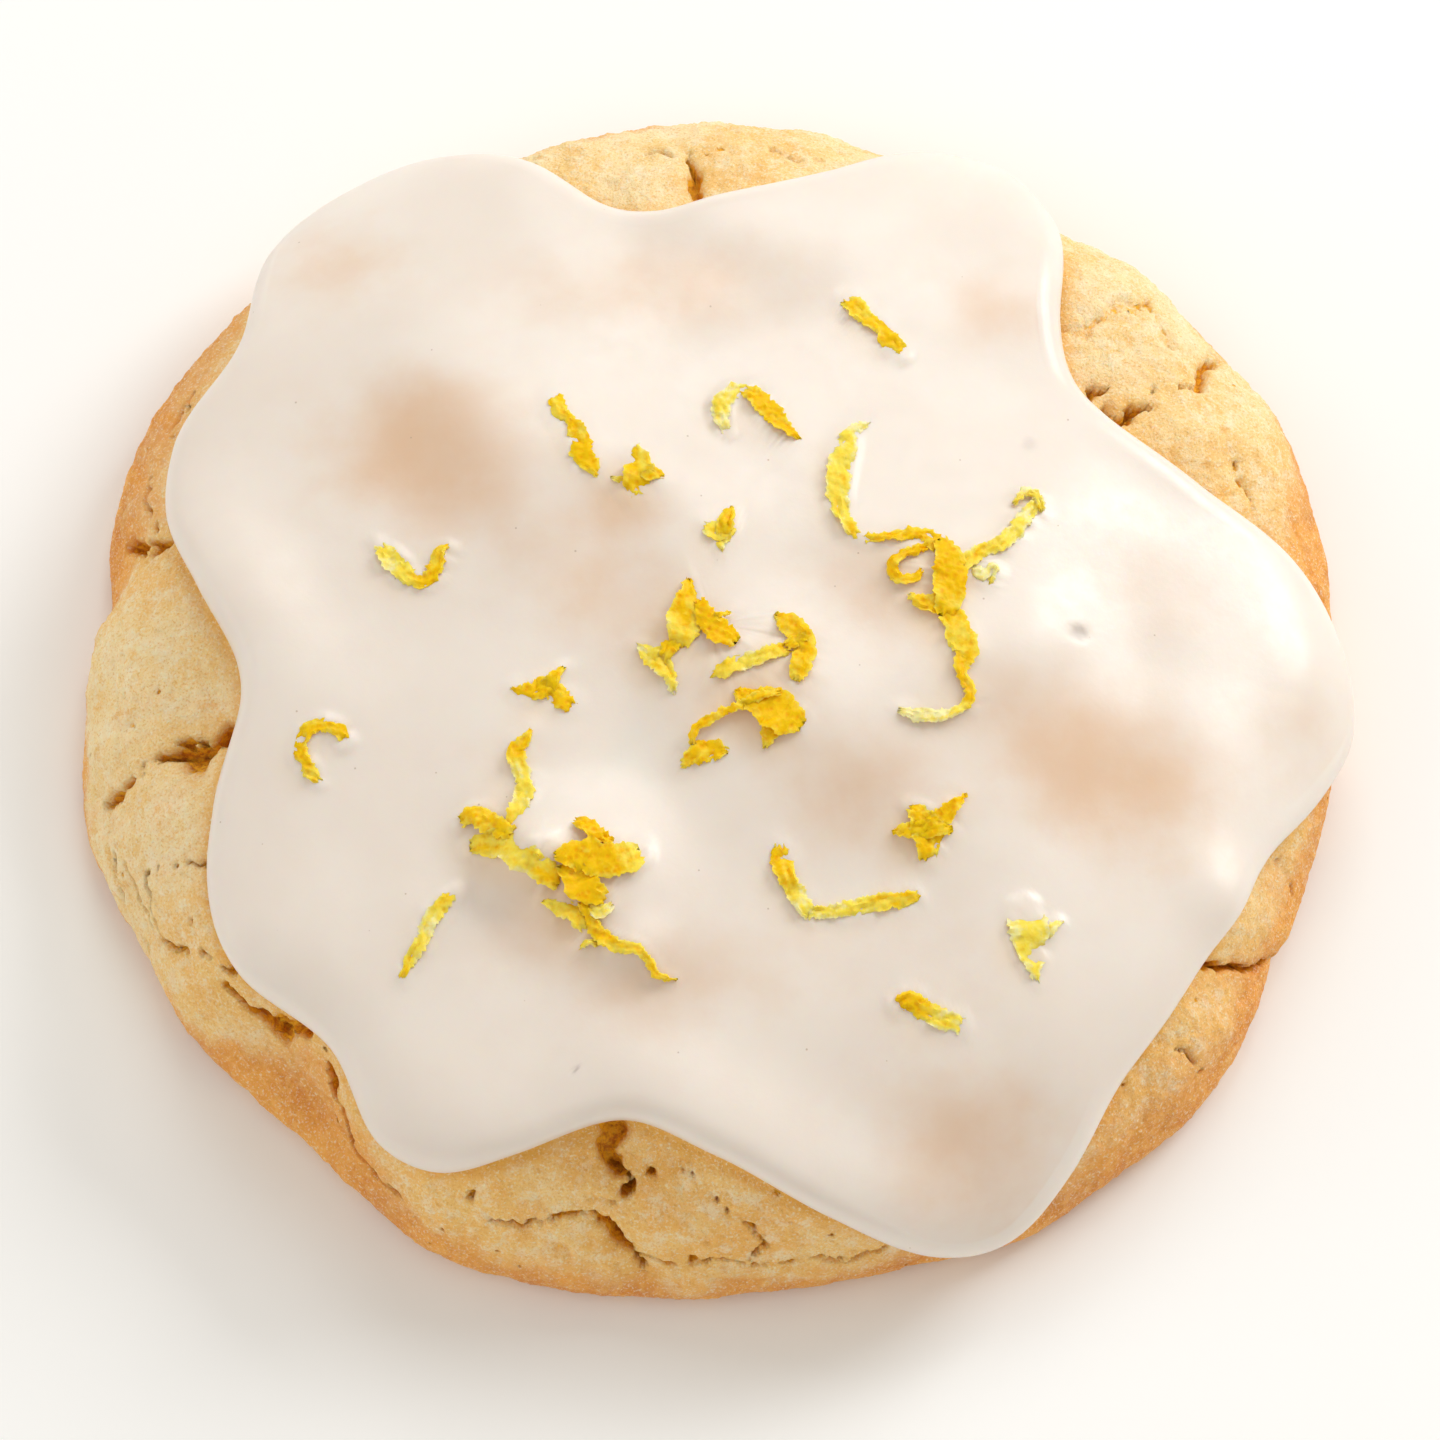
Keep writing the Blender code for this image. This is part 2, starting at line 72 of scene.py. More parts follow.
# Fissures in the crust: depth, then the x, y and width in view pixels of each stop along it
FISSURES = (
    (260, 236, 728, 16, 222, 730, 18, 208, 733, 10),
    (220, 208, 735, 6, 196, 750, 16, 184, 754, 20, 168, 752, 14, 152, 757, 8),
    (160, 200, 737, 5, 172, 741, 5, 150, 757, 6, 133, 774, 5, 119, 794, 8, 104, 804, 12),
    (120, 118, 792, 6, 110, 800, 12, 96, 803, 12),
    (60, 236, 866, 3, 200, 866, 4, 166, 869, 3, 149, 872, 3),
    (90, 149, 872, 3, 152, 905, 4, 160, 938, 5, 184, 951, 6, 225, 960, 7, 248, 974, 8),
    (70, 125, 864, 4, 138, 898, 5, 150, 925, 4),
    (60, 112, 850, 4, 120, 890, 5, 131, 925, 4, 146, 955, 4),
    (200, 114, 548, 10, 135, 544, 14, 154, 543, 14, 172, 538, 10),
    (160, 228, 984, 6, 243, 1004, 7, 262, 1026, 16, 284, 1034, 20, 304, 1036, 14),
    (130, 304, 1036, 8, 322, 1056, 8, 328, 1085, 7, 333, 1109, 6, 344, 1150, 6, 368, 1180, 5, 396, 1198, 4),
    (90, 371, 1176, 4, 390, 1184, 5, 399, 1200, 4),
    (140, 612, 1122, 26, 611, 1140, 24, 609, 1156, 16, 618, 1169, 8),
    (220, 604, 1160, 5, 619, 1171, 7, 634, 1174, 10, 627, 1190, 14, 620, 1204, 8),
    (180, 620, 1204, 5, 602, 1217, 10, 611, 1229, 14, 619, 1246, 12, 634, 1261, 6, 640, 1282, 5),
    (140, 634, 1173, 5, 656, 1167, 5, 674, 1160, 4),
    (70, 602, 1217, 5, 567, 1217, 5, 523, 1221, 6, 497, 1216, 4, 476, 1188, 3),
    (100, 634, 1262, 4, 667, 1271, 6, 693, 1265, 7, 723, 1263, 6, 752, 1268, 5, 764, 1246, 7),
    (60, 682, 1165, 3, 700, 1184, 4, 726, 1206, 4, 752, 1221, 4, 767, 1243, 5),
    (100, 760, 1269, 4, 804, 1261, 5, 852, 1254, 6, 896, 1244, 6, 940, 1250, 6),
    (130, 690, 146, 6, 697, 166, 8, 694, 182, 12, 700, 200, 14),
    (80, 640, 150, 5, 655, 145, 8, 670, 149, 5),
    (60, 770, 150, 3, 795, 156, 4, 830, 153, 3),
    (140, 1094, 389, 5, 1099, 380, 7, 1111, 379, 4),
    (200, 1108, 398, 6, 1114, 410, 10, 1126, 409, 10, 1136, 402, 8, 1152, 398, 7),
    (180, 1153, 386, 5, 1163, 382, 10, 1173, 393, 4),
    (110, 1188, 388, 4, 1202, 384, 8, 1210, 366, 9, 1222, 352, 9),
    (40, 1064, 322, 6, 1090, 326, 6, 1099, 316, 10, 1112, 308, 12, 1150, 308, 12, 1180, 296, 6),
    (70, 1233, 456, 3, 1241, 472, 3, 1258, 500, 3, 1267, 522, 4, 1277, 538, 4, 1288, 546, 3),
    (160, 1196, 962, 5, 1214, 970, 8, 1238, 968, 9, 1262, 972, 7, 1284, 964, 6),
    (60, 1160, 1040, 3, 1185, 1052, 4, 1205, 1075, 3),
    (60, 1290, 860, 3, 1302, 890, 4, 1296, 925, 3),
    (60, 150, 470, 4, 142, 500, 5, 150, 528, 4),
    (70, 185, 352, 4, 190, 392, 5, 168, 430, 4),
)

# How far from a fissure the crust bends down to it, and the depth past which it bends no further
VALLEY_REACH = 0.0026
DEEPEST_VALLEY = 0.0018

# Relief of the crust: how high or deep each kind is, and how far the whole lies under the plain dome
BILLOW_RISE = 0.00034
PLATE_STEP = 0.0001
SEAM_DEPTH = 0.00013
PORE_DEPTH = 0.00022
CRAG_RISE = 0.00007
SAND_RISE = 0.000105
CRUST_SINK = 0.0003

# How a fissure's sides wander: how far, the length of each wander, and its seed
FISSURE_RAGS = ((0.00045, 0.003, 5), (0.00036, 0.0011, 6), (0.00021, 0.0005, 7))

# Small round pits in the crust: view pixel, radius and depth
PITS = (
    ((133, 723), 60, 40), ((567, 1250), 70, 40), ((139, 774), 40, 60), ((712, 1234), 50, 30),
    ((797, 1228), 50, 30), ((188, 758), 90, 100), ((272, 1040), 80, 90), ((197, 920), 30, 40),
    ((1200, 425), 20, 30), ((1220, 436), 20, 30), ((1255, 483), 20, 30),
)

# The icing: how far down the dome its edge runs, as a turn and a share of the rim's radius
ICING_REACH = (
    (2, 0.975), (11, 0.925), (21, 0.8), (33, 0.722), (39, 0.726), (46, 0.782), (54, 0.925),
    (62, 0.985), (70, 0.945), (78, 0.832), (90, 0.757), (97, 0.746), (103, 0.785), (109, 0.893),
    (116, 0.962), (125, 0.986), (135, 0.97), (144, 0.893), (157, 0.895), (164, 0.872), (172, 0.806),
    (187, 0.732), (198, 0.812), (203, 0.849), (215, 0.885), (227, 0.872), (237, 0.921), (243, 0.907),
    (249, 0.857), (260, 0.783), (270, 0.826), (281, 0.916), (290, 0.98), (297, 0.987), (304, 0.96),
    (314, 0.903), (332, 0.899), (340, 0.915), (348, 0.96), (355, 0.985),
)
MOST_REACH = 0.992
ICING_THICKNESS = 0.0013
BEAD_RISE = 0.0005
BEAD_REACH = 0.0036
EDGE_ROLL = 0.0016
EDGE_TUCK = math.radians(35)
ICING_GAP = 0.0003
ICING_SINK = 0.0004

# Low swells of the iced surface: the long and short radius, then the x, y, rise and heading of each swell of
# that size
SWELLS = (
    ((950, 450), (-900, 1250, 100, -33)),
    ((600, 500), (-700, -1450, 110, -20), (1800, 2300, 60, 0)),
    ((550, 400), (400, -200, 70, -30)),
    ((850, 550), (1550, 650, 90, -15)),
    ((800, 500), (-150, 2400, 60, 0)),
    ((800, 600), (2650, -350, 80, 60), (-1900, 2350, 60, 40)),
    ((700, 600), (1500, -2800, 60, 20)),
    ((700, 500), (-2400, -1000, 40, 70)),
    ((800, 340), (-600, 2700, -110, -60), (300, 1950, -77, 30), (1500, 1650, 25, 60),
     (1650, 1500, -20, 30), (1200, 1350, -16, 60), (-1350, 1050, 66, -60), (2700, 1050, -132, -30),
     (1050, 600, 29, -60), (-2850, 450, 100, -60), (-150, 300, 49, 90), (1650, -150, 90, 30),
     (-1650, -300, -29, 60), (750, -750, 53, -30), (2400, -750, -95, 60), (-300, -1050, -87, -60),
     (2100, -2700, 79, -60), (-1650, -2850, 108, -30), (0, -3000, 132, -30), (750, -3300, 76, 0)),
    ((460, 240), (0, 2400, -50, -30), (0, 1200, -54, -30), (1050, 1200, 44, 30), (1200, 1200, -84, 30),
     (1200, 1200, 33, 0), (1350, 1200, 48, 30), (1350, 1200, -54, 0), (1350, 900, -61, 0),
     (3450, -150, 131, 90), (-900, -900, -28, 0), (-1350, -1650, -74, -60), (1050, -3300, 132, 0)),
    ((600, 600), (1950, 1950, -158, 0), (900, 1650, -99, 0), (1650, 900, -49, 0), (2550, 150, -158, 0),
     (750, -1650, -87, 0), (-2700, -1800, 132, 0), (-2250, -2100, 115, 0), (-1650, -2850, 132, 0)),
    ((180, 180), (1050, 1200, -21, 0), (-1050, -1350, 145, 0), (-450, -1950, 75, 0)),
    ((260, 260), (1200, 1200, 41, 0), (2700, 150, 28, 0), (3000, -1500, 132, 0)),
)

# The photograph's view: its elevation, and its scale and centre over the cookie
VIEW_ELEVATION = math.radians(70)
VIEW_DISTANCE = 1.0
VIEW_TARGET_HEIGHT = 0.005
PIXELS_PER_METRE = 16580
VIEW_ORIGIN_PIXEL = (715, 694)
IMAGE_SIDE = 1440
SENSOR_MM = 36

FLOOR_HALF = 3.0
FLOOR_HEIGHT = -0.00005

# Soft lights that face the cookie: name, azimuth from +X, elevation, distance, size, watts
LIGHTS = (
    ("key", 40, 33, 0.9, 0.4, 4.2),
    ("panel", 84, 50, 0.9, 0.4, 1.65),
    ("fill", 194, 32, 1.3, 1.2, 2.6),
    ("front", 300, 14, 1.1, 0.7, 1.1),
    ("left", 184, 10, 1.3, 0.8, 1.9),
)
STUDIO_COLOUR = (1.0, 0.93, 0.84, 1)
STUDIO_STRENGTH = 0.52

# How far the crust starts under the icing's edge, the steps of the base's rounded edge in degrees, and the
# rings of the flat base: points in each, and its share of the base's rim
START_UNDER = math.radians(1)
BASE_ROUNDING = (14, 27, 40, 52, 64, 76, 90)
BASE_RINGS = (
    (1100, 0.985), (550, 0.95), (550, 0.9), (275, 0.8), (275, 0.7), (275, 0.6), (275, 0.5), (55, 0.3),
    (55, 0.15),
)

# How high the browned crust reaches on the rim: angle, spread in degrees, and how much higher
BAKED_HEIGHT = 0.004
BAKE_RISES = (
    (155, 18, 500), (178, 8, -200), (203, 14, -240), (228, 12, 400), (250, 14, 60), (275, 14, -60),
    (306, 16, 260), (325, 16, 300), (9, 16, 600), (40, 20, -100), (105, 14, 140), (84, 12, -80),
)

# Where the top of the crust is toasted, and where painted shade darkens it at the front and front left:
# angle, spread in degrees, and how much
TOASTED = (
    (4, 14, 0.7), (20, 12, 0.55), (84, 8, 0.5), (140, 22, 0.5), (168, 6, 0.5), (212, 8, 0.75),
    (228, 12, 0.9), (246, 12, 1.0), (268, 34, 0.85), (318, 24, 0.8), (344, 12, 0.7),
)

# Points round the meshes and rows down them
CRUMB_RING = 1100
CRUMB_ROWS = 74
ICING_RING = 720
ROLL_ROWS = 12
ICING_ROWS = 84

# Shreds of zest: how many millimetres each lies over the icing, then the x, y and width in view pixels and
# the paleness in tenths of each stop along it
ZEST = (
    (0, 844, 303, 14, 3, 856, 314, 22, 3, 866, 323, 16, 2, 880, 333, 16, 2, 888, 344, 20, 1,
     902, 356, 12, 1),
    (0, 727, 433, 9, 9, 721, 419, 17, 8, 723, 405, 20, 7, 733, 394, 14, 6, 748, 390, 7, 6),
    (0.1, 743, 393, 12, 3, 757, 402, 20, 1, 771, 416, 20, 1, 784, 431, 14, 1, 799, 441, 4, 1),
    (0, 558, 400, 12, 2, 562, 415, 18, 2, 572, 424, 10, 1, 580, 438, 20, 1, 584, 455, 22, 0,
     592, 468, 18, 1, 602, 478, 5, 4),
    (0, 635, 447, 7, 5, 641, 466, 24, 3, 637, 482, 32, 1, 630, 497, 12, 4),
    (0.1, 640, 470, 14, 2, 652, 476, 18, 1, 664, 479, 6, 4),
    (0, 613, 480, 4, 7, 624, 482, 8, 4, 636, 482, 10, 2),
    (0, 384, 545, 12, 7, 394, 560, 20, 6, 406, 572, 20, 5, 418, 581, 16, 3, 432, 580, 16, 1,
     440, 566, 16, 1, 444, 553, 12, 2, 454, 546, 4, 2),
    (0, 704, 526, 10, 5, 716, 532, 24, 3, 726, 532, 20, 3, 735, 528, 8, 4),
    (0.1, 731, 509, 6, 2, 726, 524, 18, 2, 722, 540, 15, 4, 722, 552, 4, 6),
    (0, 869, 426, 5, 9, 853, 433, 13, 8, 845, 448, 23, 6, 840, 466, 25, 5, 837, 486, 25, 5,
     838, 504, 20, 5, 843, 521, 15, 5, 856, 536, 11, 4, 876, 540, 9, 2, 898, 537, 11, 1, 920, 536, 15, 1,
     938, 550, 20, 1),
    (0.15, 925, 548, 9, 1, 910, 553, 10, 1, 897, 559, 11, 1, 890, 569, 12, 1, 896, 580, 12, 1,
     910, 581, 10, 1, 919, 572, 7, 1),
    (0.3, 936, 543, 16, 1, 945, 560, 28, 0, 946, 581, 34, 0, 945, 600, 30, 1, 940, 617, 18, 1),
    (0.2, 950, 604, 16, 1, 931, 606, 20, 1, 915, 602, 13, 3, 907, 596, 5, 5),
    (0.1, 950, 573, 16, 2, 962, 564, 17, 4, 978, 553, 15, 4, 996, 546, 15, 5, 1010, 534, 17, 7,
     1020, 520, 15, 8, 1031, 508, 14, 7, 1036, 498, 8, 6),
    (0.3, 1036, 514, 6, 5, 1032, 500, 9, 6, 1021, 497, 9, 7, 1010, 507, 6, 7),
    (0, 964, 570, 10, 8, 978, 575, 13, 9, 990, 570, 10, 9, 985, 585, 5, 9),
    (0.15, 944, 606, 22, 1, 950, 622, 25, 2, 957, 640, 28, 4, 962, 652, 26, 3, 958, 664, 17, 2,
     958, 676, 11, 1, 965, 688, 11, 3, 964, 701, 11, 4, 953, 711, 10, 6, 936, 716, 12, 9, 916, 716, 14, 10,
     897, 711, 7, 9),
    (0.1, 689, 580, 6, 1, 688, 594, 20, 1, 686, 612, 32, 2, 683, 630, 34, 4, 680, 647, 18, 2),
    (0.25, 696, 604, 14, 0, 708, 621, 22, 0, 720, 634, 25, 0, 736, 643, 15, 1),
    (0.3, 712, 625, 6, 1, 720, 618, 6, 2, 730, 615, 3, 3),
    (0.1, 681, 640, 13, 1, 669, 650, 15, 1, 663, 662, 16, 2),
    (0, 637, 645, 5, 8, 650, 655, 20, 5, 662, 664, 23, 4, 670, 678, 14, 4, 675, 694, 6, 7),
    (0, 710, 674, 9, 2, 724, 670, 17, 3, 742, 663, 17, 6, 760, 658, 16, 6, 776, 652, 16, 3,
     790, 648, 13, 2),
    (0.2, 776, 616, 8, 4, 788, 626, 22, 2, 798, 636, 25, 1, 804, 650, 24, 1, 801, 664, 23, 2,
     796, 681, 12, 3),
    (0.3, 786, 648, 12, 2, 799, 642, 13, 1, 813, 641, 7, 2),
    (0.15, 736, 692, 8, 1, 752, 700, 28, 0, 770, 708, 40, 0, 786, 718, 40, 0, 800, 727, 20, 1),
    (0.1, 773, 720, 24, 1, 769, 735, 19, 1, 765, 747, 6, 3),
    (0.35, 779, 694, 7, 1, 758, 699, 9, 2, 742, 706, 9, 2, 724, 714, 9, 2, 707, 723, 9, 2, 695, 732, 9, 2,
     692, 745, 7, 2),
    (0.05, 681, 765, 7, 4, 693, 757, 19, 1, 706, 752, 23, 1, 718, 750, 19, 1, 727, 752, 6, 3),
    (0, 512, 687, 4, 2, 523, 691, 12, 1, 538, 690, 19, 1, 550, 688, 22, 0, 562, 699, 20, 1,
     575, 709, 11, 1),
    (0.15, 548, 691, 15, 1, 555, 680, 13, 1, 564, 668, 6, 2),
    (0, 353, 741, 11, 2, 347, 731, 13, 2, 336, 725, 13, 1, 323, 726, 14, 1, 313, 735, 15, 1,
     310, 748, 15, 0, 315, 761, 14, 1, 323, 773, 13, 4, 329, 780, 5, 7),
    (0.05, 533, 730, 6, 3, 527, 740, 10, 3, 518, 750, 20, 0, 522, 767, 17, 6, 527, 786, 18, 6,
     523, 802, 18, 5, 512, 823, 12, 4),
    (0.2, 465, 820, 12, 2, 480, 815, 22, 2, 497, 824, 22, 1, 516, 830, 16, 1),
    (0.1, 474, 845, 16, 4, 488, 843, 24, 3, 503, 841, 30, 4, 522, 848, 32, 5, 541, 861, 28, 4,
     564, 877, 22, 1),
    (0.35, 578, 820, 9, 1, 592, 827, 18, 0, 606, 837, 14, 0, 614, 839, 6, 1),
    (0.3, 560, 852, 9, 1, 576, 853, 28, 0, 594, 855, 38, 0, 612, 858, 34, 1, 630, 856, 30, 3,
     642, 852, 20, 6),
    (0.25, 572, 860, 24, 0, 580, 876, 32, 0, 592, 887, 30, 0, 607, 894, 16, 1),
    (0.1, 590, 900, 10, 6, 602, 908, 15, 7, 613, 900, 8, 6),
    (0.1, 584, 896, 10, 1, 592, 914, 12, 1, 602, 930, 16, 2, 620, 940, 15, 3, 637, 943, 11, 3,
     650, 954, 9, 3, 658, 970, 8, 3, 676, 975, 3, 3),
    (0, 548, 895, 10, 3, 561, 902, 19, 5, 577, 910, 17, 4, 588, 926, 13, 4),
    (0, 579, 944, 5, 6, 589, 938, 7, 5, 600, 937, 8, 4),
    (0, 459, 889, 10, 5, 447, 901, 15, 4, 436, 916, 17, 8, 430, 933, 15, 5, 423, 946, 13, 5,
     410, 971, 6, 3),
    (0.05, 780, 844, 13, 1, 781, 860, 22, 1, 788, 880, 18, 3, 799, 898, 19, 7, 811, 915, 14, 7),
    (0.05, 804, 911, 13, 7, 827, 911, 13, 6, 853, 907, 17, 6, 881, 901, 17, 4, 903, 898, 16, 3,
     917, 894, 10, 3),
    (0.15, 962, 794, 3, 1, 950, 806, 13, 1, 938, 817, 20, 0, 922, 824, 22, 1),
    (0.1, 908, 806, 12, 2, 919, 818, 28, 1, 925, 832, 34, 0, 926, 846, 24, 1, 925, 858, 16, 2),
    (0.2, 892, 831, 7, 1, 908, 829, 18, 1, 928, 828, 18, 0, 948, 828, 10, 1),
    (0, 1021, 914, 38, 7, 1023, 928, 40, 6, 1024, 944, 30, 6, 1027, 960, 18, 7, 1029, 973, 5, 9),
    (0.1, 1036, 929, 14, 7, 1045, 924, 10, 8, 1055, 917, 4, 9),
    (0, 894, 1000, 12, 1, 906, 995, 19, 0, 920, 1003, 21, 2, 938, 1012, 21, 6, 957, 1018, 17, 6),
)
ZEST_THICKNESS = 0.00028
ZEST_RAGGED = 0.00021
ZEST_HALF_LEAST = 0.00006
ZEST_ARCH = 0.00026
ZEST_GAP = 0.00002
ZEST_SHARP_ANGLE = math.radians(50)
ZEST_STEP = 0.00011
ZEST_COLUMNS = 9

# Where the icing is thin and the crumb's tan shows through, and where painted shade tans the shaded sides of
# the swells: view pixel, radii in x and y, strength
THIN_PATCHES = (
    ((420, 445), 540, 460, 0.95), ((470, 490), 400, 300, 0.35), ((626, 508), 260, 200, 0.65),
    ((560, 560), 550, 340, 0.4), ((688, 288), 740, 320, 0.55), ((992, 322), 360, 260, 0.6),
    ((345, 275), 450, 300, 0.55), ((560, 300), 500, 260, 0.2), ((1112, 788), 620, 460, 0.9),
    ((1030, 715), 520, 320, 0.5), ((1285, 735), 340, 300, 0.35), ((965, 1122), 580, 420, 0.7),
    ((545, 915), 420, 280, 0.55), ((640, 985), 500, 300, 0.55), ((745, 965), 500, 320, 0.3),
    ((752, 702), 420, 240, 0.5), ((660, 620), 360, 360, 0.35), ((880, 600), 300, 340, 0.55),
    ((862, 800), 500, 400, 0.4), ((800, 560), 360, 300, 0.25), ((505, 780), 260, 300, 0.25),
    ((930, 960), 500, 360, 0.2), ((840, 770), 440, 300, 0.35), ((600, 610), 400, 300, 0.3),
    ((1150, 600), 440, 400, 0.3),
)

# Small marks in the icing: view pixel, radius, depth, and colour share of grey
BUBBLES = (
    ((1074, 633), 55, 10, 1.0), ((1026, 446), 50, 6, 0.4), ((580, 1057), 20, 6, 1.0),
    ((300, 1110), 16, 4, 0.8), ((1188, 942), 16, 4, 0.8),
)


def bump_round(turn, angle, spread):
    """A bump of height 1 at an angle, as wide as spread. Both are in degrees round the cookie."""
    away = (np.degrees(turn) - angle + 180) % 360 - 180
    return np.exp(-((away / spread) ** 2))


def rim_radius(turn, low=1.0):
    """The widest radius at each turn, with its bulges and flats. low is the share of the narrow ones."""
    radius = np.full(np.shape(turn), COOKIE_RADIUS)
    for angle, spread, rise in RIM_BULGES:
        share = low if spread < NARROW_BULGE else 1.0
        radius = radius + share * (rise / TABLE_UNIT) * bump_round(turn, angle, spread)
    return radius


def dome(turn, fall):
    """The plain dome, before its lumps: points as rows of x, y, z."""
    radius = rim_radius(turn, smooth(fall, *NARROW_FALLS)) * np.sin(fall) ** (2 / PLAN_POWER)
    height = WIDEST_HEIGHT + (CROWN_HEIGHT - WIDEST_HEIGHT) * np.cos(fall)
    return np.stack([radius * np.cos(turn), radius * np.sin(turn), height], axis=-1)


def fall_of_share(share):
    """How far down the profile the dome has this share of the rim's radius."""
    return np.arcsin(np.clip(share, 0, 1) ** (PLAN_POWER / 2))


def length_of(vectors):
    return np.linalg.norm(vectors, axis=-1)


def unit(vectors):
    return vectors / length_of(vectors)[..., None]


def dome_normal(turn, fall):
    step = 0.002
    fall = np.clip(fall, 0.02, math.pi / 2 - 2 * step)
    across = dome(turn + step, fall) - dome(turn - step, fall)
    down = dome(turn, fall + step) - dome(turn, fall - step)
    return unit(np.cross(down, across))


def swell_height(points):
    """The swells of the dome, which the icing follows."""
    total = np.zeros(len(points))
    for radii, *places in SWELLS:
        for *lengths, heading in places:
            long_radius, short_radius, x, y, rise = np.array([*radii, *lengths]) / TABLE_UNIT
            way = math.radians(heading)
            along = (points[:, 0] - x) * math.cos(way) + (points[:, 1] - y) * math.sin(way)
            aside = (points[:, 1] - y) * math.cos(way) - (points[:, 0] - x) * math.sin(way)
            total += rise * np.exp(-((along / long_radius) ** 2) - (aside / short_radius) ** 2)
    return total


def lump_height(points):
    """The puffed lumps and hollows round the edge of the dome."""
    total = np.zeros(len(points))
    for turn, fall, radius, rise in LUMPS:
        middle = dome(np.radians([turn]), np.radians([fall]))
        squares = (((points - middle) * TABLE_UNIT / radius) ** 2).sum(axis=1)
        total += rise / TABLE_UNIT * np.exp(-squares)
    return total


def surface(turn, fall, lift=0.0):
    """The dome with its swells and lumps, raised by lift along its normal."""
    plain = dome(turn, fall)
    rise = swell_height(plain) * (0.15 + 0.85 * np.cos(fall)) + lump_height(plain)
    return plain + dome_normal(turn, fall) * (rise + lift)[:, None]


def cubic_between(t, start, end, slope_in, slope_out):
    """A smooth run from start to end with these slopes, as t goes from 0 to 1."""
    return (
        (2 * t**3 - 3 * t**2 + 1) * start
        + (t**3 - 2 * t**2 + t) * slope_in
        + (3 * t**2 - 2 * t**3) * end
        + (t**3 - t**2) * slope_out
    )


def icing_edge(turn):
    """The fall of the icing's edge at each turn: a smooth closed curve through ICING_REACH."""
    angles, shares = np.array(ICING_REACH, float).T
    angles = np.radians(np.concatenate([angles[-2:] - 360, angles, angles[:3] + 360]))
    shares = np.concatenate([shares[-2:], shares, shares[:3]])
    slopes = np.gradient(shares, angles)
    turn = np.mod(turn, 2 * math.pi)
    left = np.clip(np.searchsorted(angles, turn, side="right") - 1, 0, len(angles) - 2)
    right = left + 1
    width = angles[right] - angles[left]
    t = (turn - angles[left]) / width
    share = cubic_between(t, shares[left], shares[right], width * slopes[left], width * slopes[right])
    return fall_of_share(np.minimum(share, MOST_REACH))


def step_inwards(turn, fall, inset):
    """The place that lies this far in from the icing's edge, square to the edge."""
    step = 0.002
    edge_slope = (icing_edge(turn + step) - icing_edge(turn - step)) / (2 * step)
    radius = length_of(dome(turn, fall)[:, :2])
    down = length_of(dome(turn, fall) - dome(turn, fall - step)) / step
    length = np.hypot(radius, edge_slope * down)
    return (
        turn + inset * edge_slope * down / (length * radius),
        fall - inset * radius / (length * down),
    )


def edge_roll(angle):
    """The inset and height on the rolled edge, from its tucked foot to the top of its bead."""
    top = ICING_THICKNESS + BEAD_RISE
    half = top / (1 + math.sin(EDGE_TUCK))
    return EDGE_ROLL * (1 - math.cos(angle)), half * (math.sin(EDGE_TUCK) + math.sin(angle))


def ring_turns(count):
    return np.arange(count) * 2 * math.pi / count


def foot_of_icing(turn):
    return step_inwards(turn, icing_edge(turn), edge_roll(-EDGE_TUCK)[0])


def end_of_roll(turn):
    return step_inwards(turn, icing_edge(turn), EDGE_ROLL)


def towards_crown(count, share, place):
    """A ring that is this share of the way from the crown to a place that depends on the turn."""
    turn = ring_turns(count)
    end_turn, end_fall = place(turn)
    return turn + (end_turn - turn) * share, end_fall * share


def height_at_crown():
    return surface(np.zeros(1), np.zeros(1))[0][2]


def icing_height(x, y):
    """How high the icing's top stands over a place in plan."""
    turn = np.arctan2([y], [x])
    fall = fall_of_share(math.hypot(x, y) / rim_radius(turn, 0.0))
    return surface(turn, fall, ICING_GAP + ICING_THICKNESS)[0][2]


def line_of_sight(pixel):
    """The eye, and the point at the target's distance that is seen at a pixel of the view."""
    sine, cosine = math.sin(VIEW_ELEVATION), math.cos(VIEW_ELEVATION)
    eye = np.array([0, -cosine, sine]) * VIEW_DISTANCE + (0, 0, VIEW_TARGET_HEIGHT)
    right = (pixel[0] - VIEW_ORIGIN_PIXEL[0]) / PIXELS_PER_METRE
    up = (VIEW_ORIGIN_PIXEL[1] - pixel[1]) / PIXELS_PER_METRE
    return eye, np.array([right, up * sine, up * cosine + VIEW_TARGET_HEIGHT])


def on_icing(pixel):
    """Where the line of sight through a pixel of the view meets the icing's top, as x and y."""
    eye, seen = line_of_sight(pixel)
    height = CROWN_HEIGHT
    for _ in range(8):
        spot = eye + (seen - eye) * (eye[2] - height) / (eye[2] - seen[2])
        height = icing_height(spot[0], spot[1])
    return spot[:2]


def on_crumb(pixel):
    """Where the line of sight through a pixel of the view first meets the plain dome."""
    eye, seen = line_of_sight(pixel)
    heights = np.linspace(1.25 * CROWN_HEIGHT, WIDEST_HEIGHT, 1400)
    spots = eye + (seen - eye) * ((eye[2] - heights) / (eye[2] - seen[2]))[:, None]
    turns = np.arctan2(spots[:, 1], spots[:, 0])
    shares = np.hypot(spots[:, 0], spots[:, 1]) / rim_radius(turns)
    falls = fall_of_share(shares)
    under = (shares < 1) & (dome(turns, falls)[:, 2] >= heights)
    first = np.argmax(under) if under.any() else np.argmin(shares)
    return dome(turns[first : first + 1], falls[first : first + 1])[0]


def smooth(values, low, high):
    """A soft step from 0 at low to 1 at high."""
    t = np.clip((values - low) / (high - low), 0, 1)
    return t * t * (3 - 2 * t)


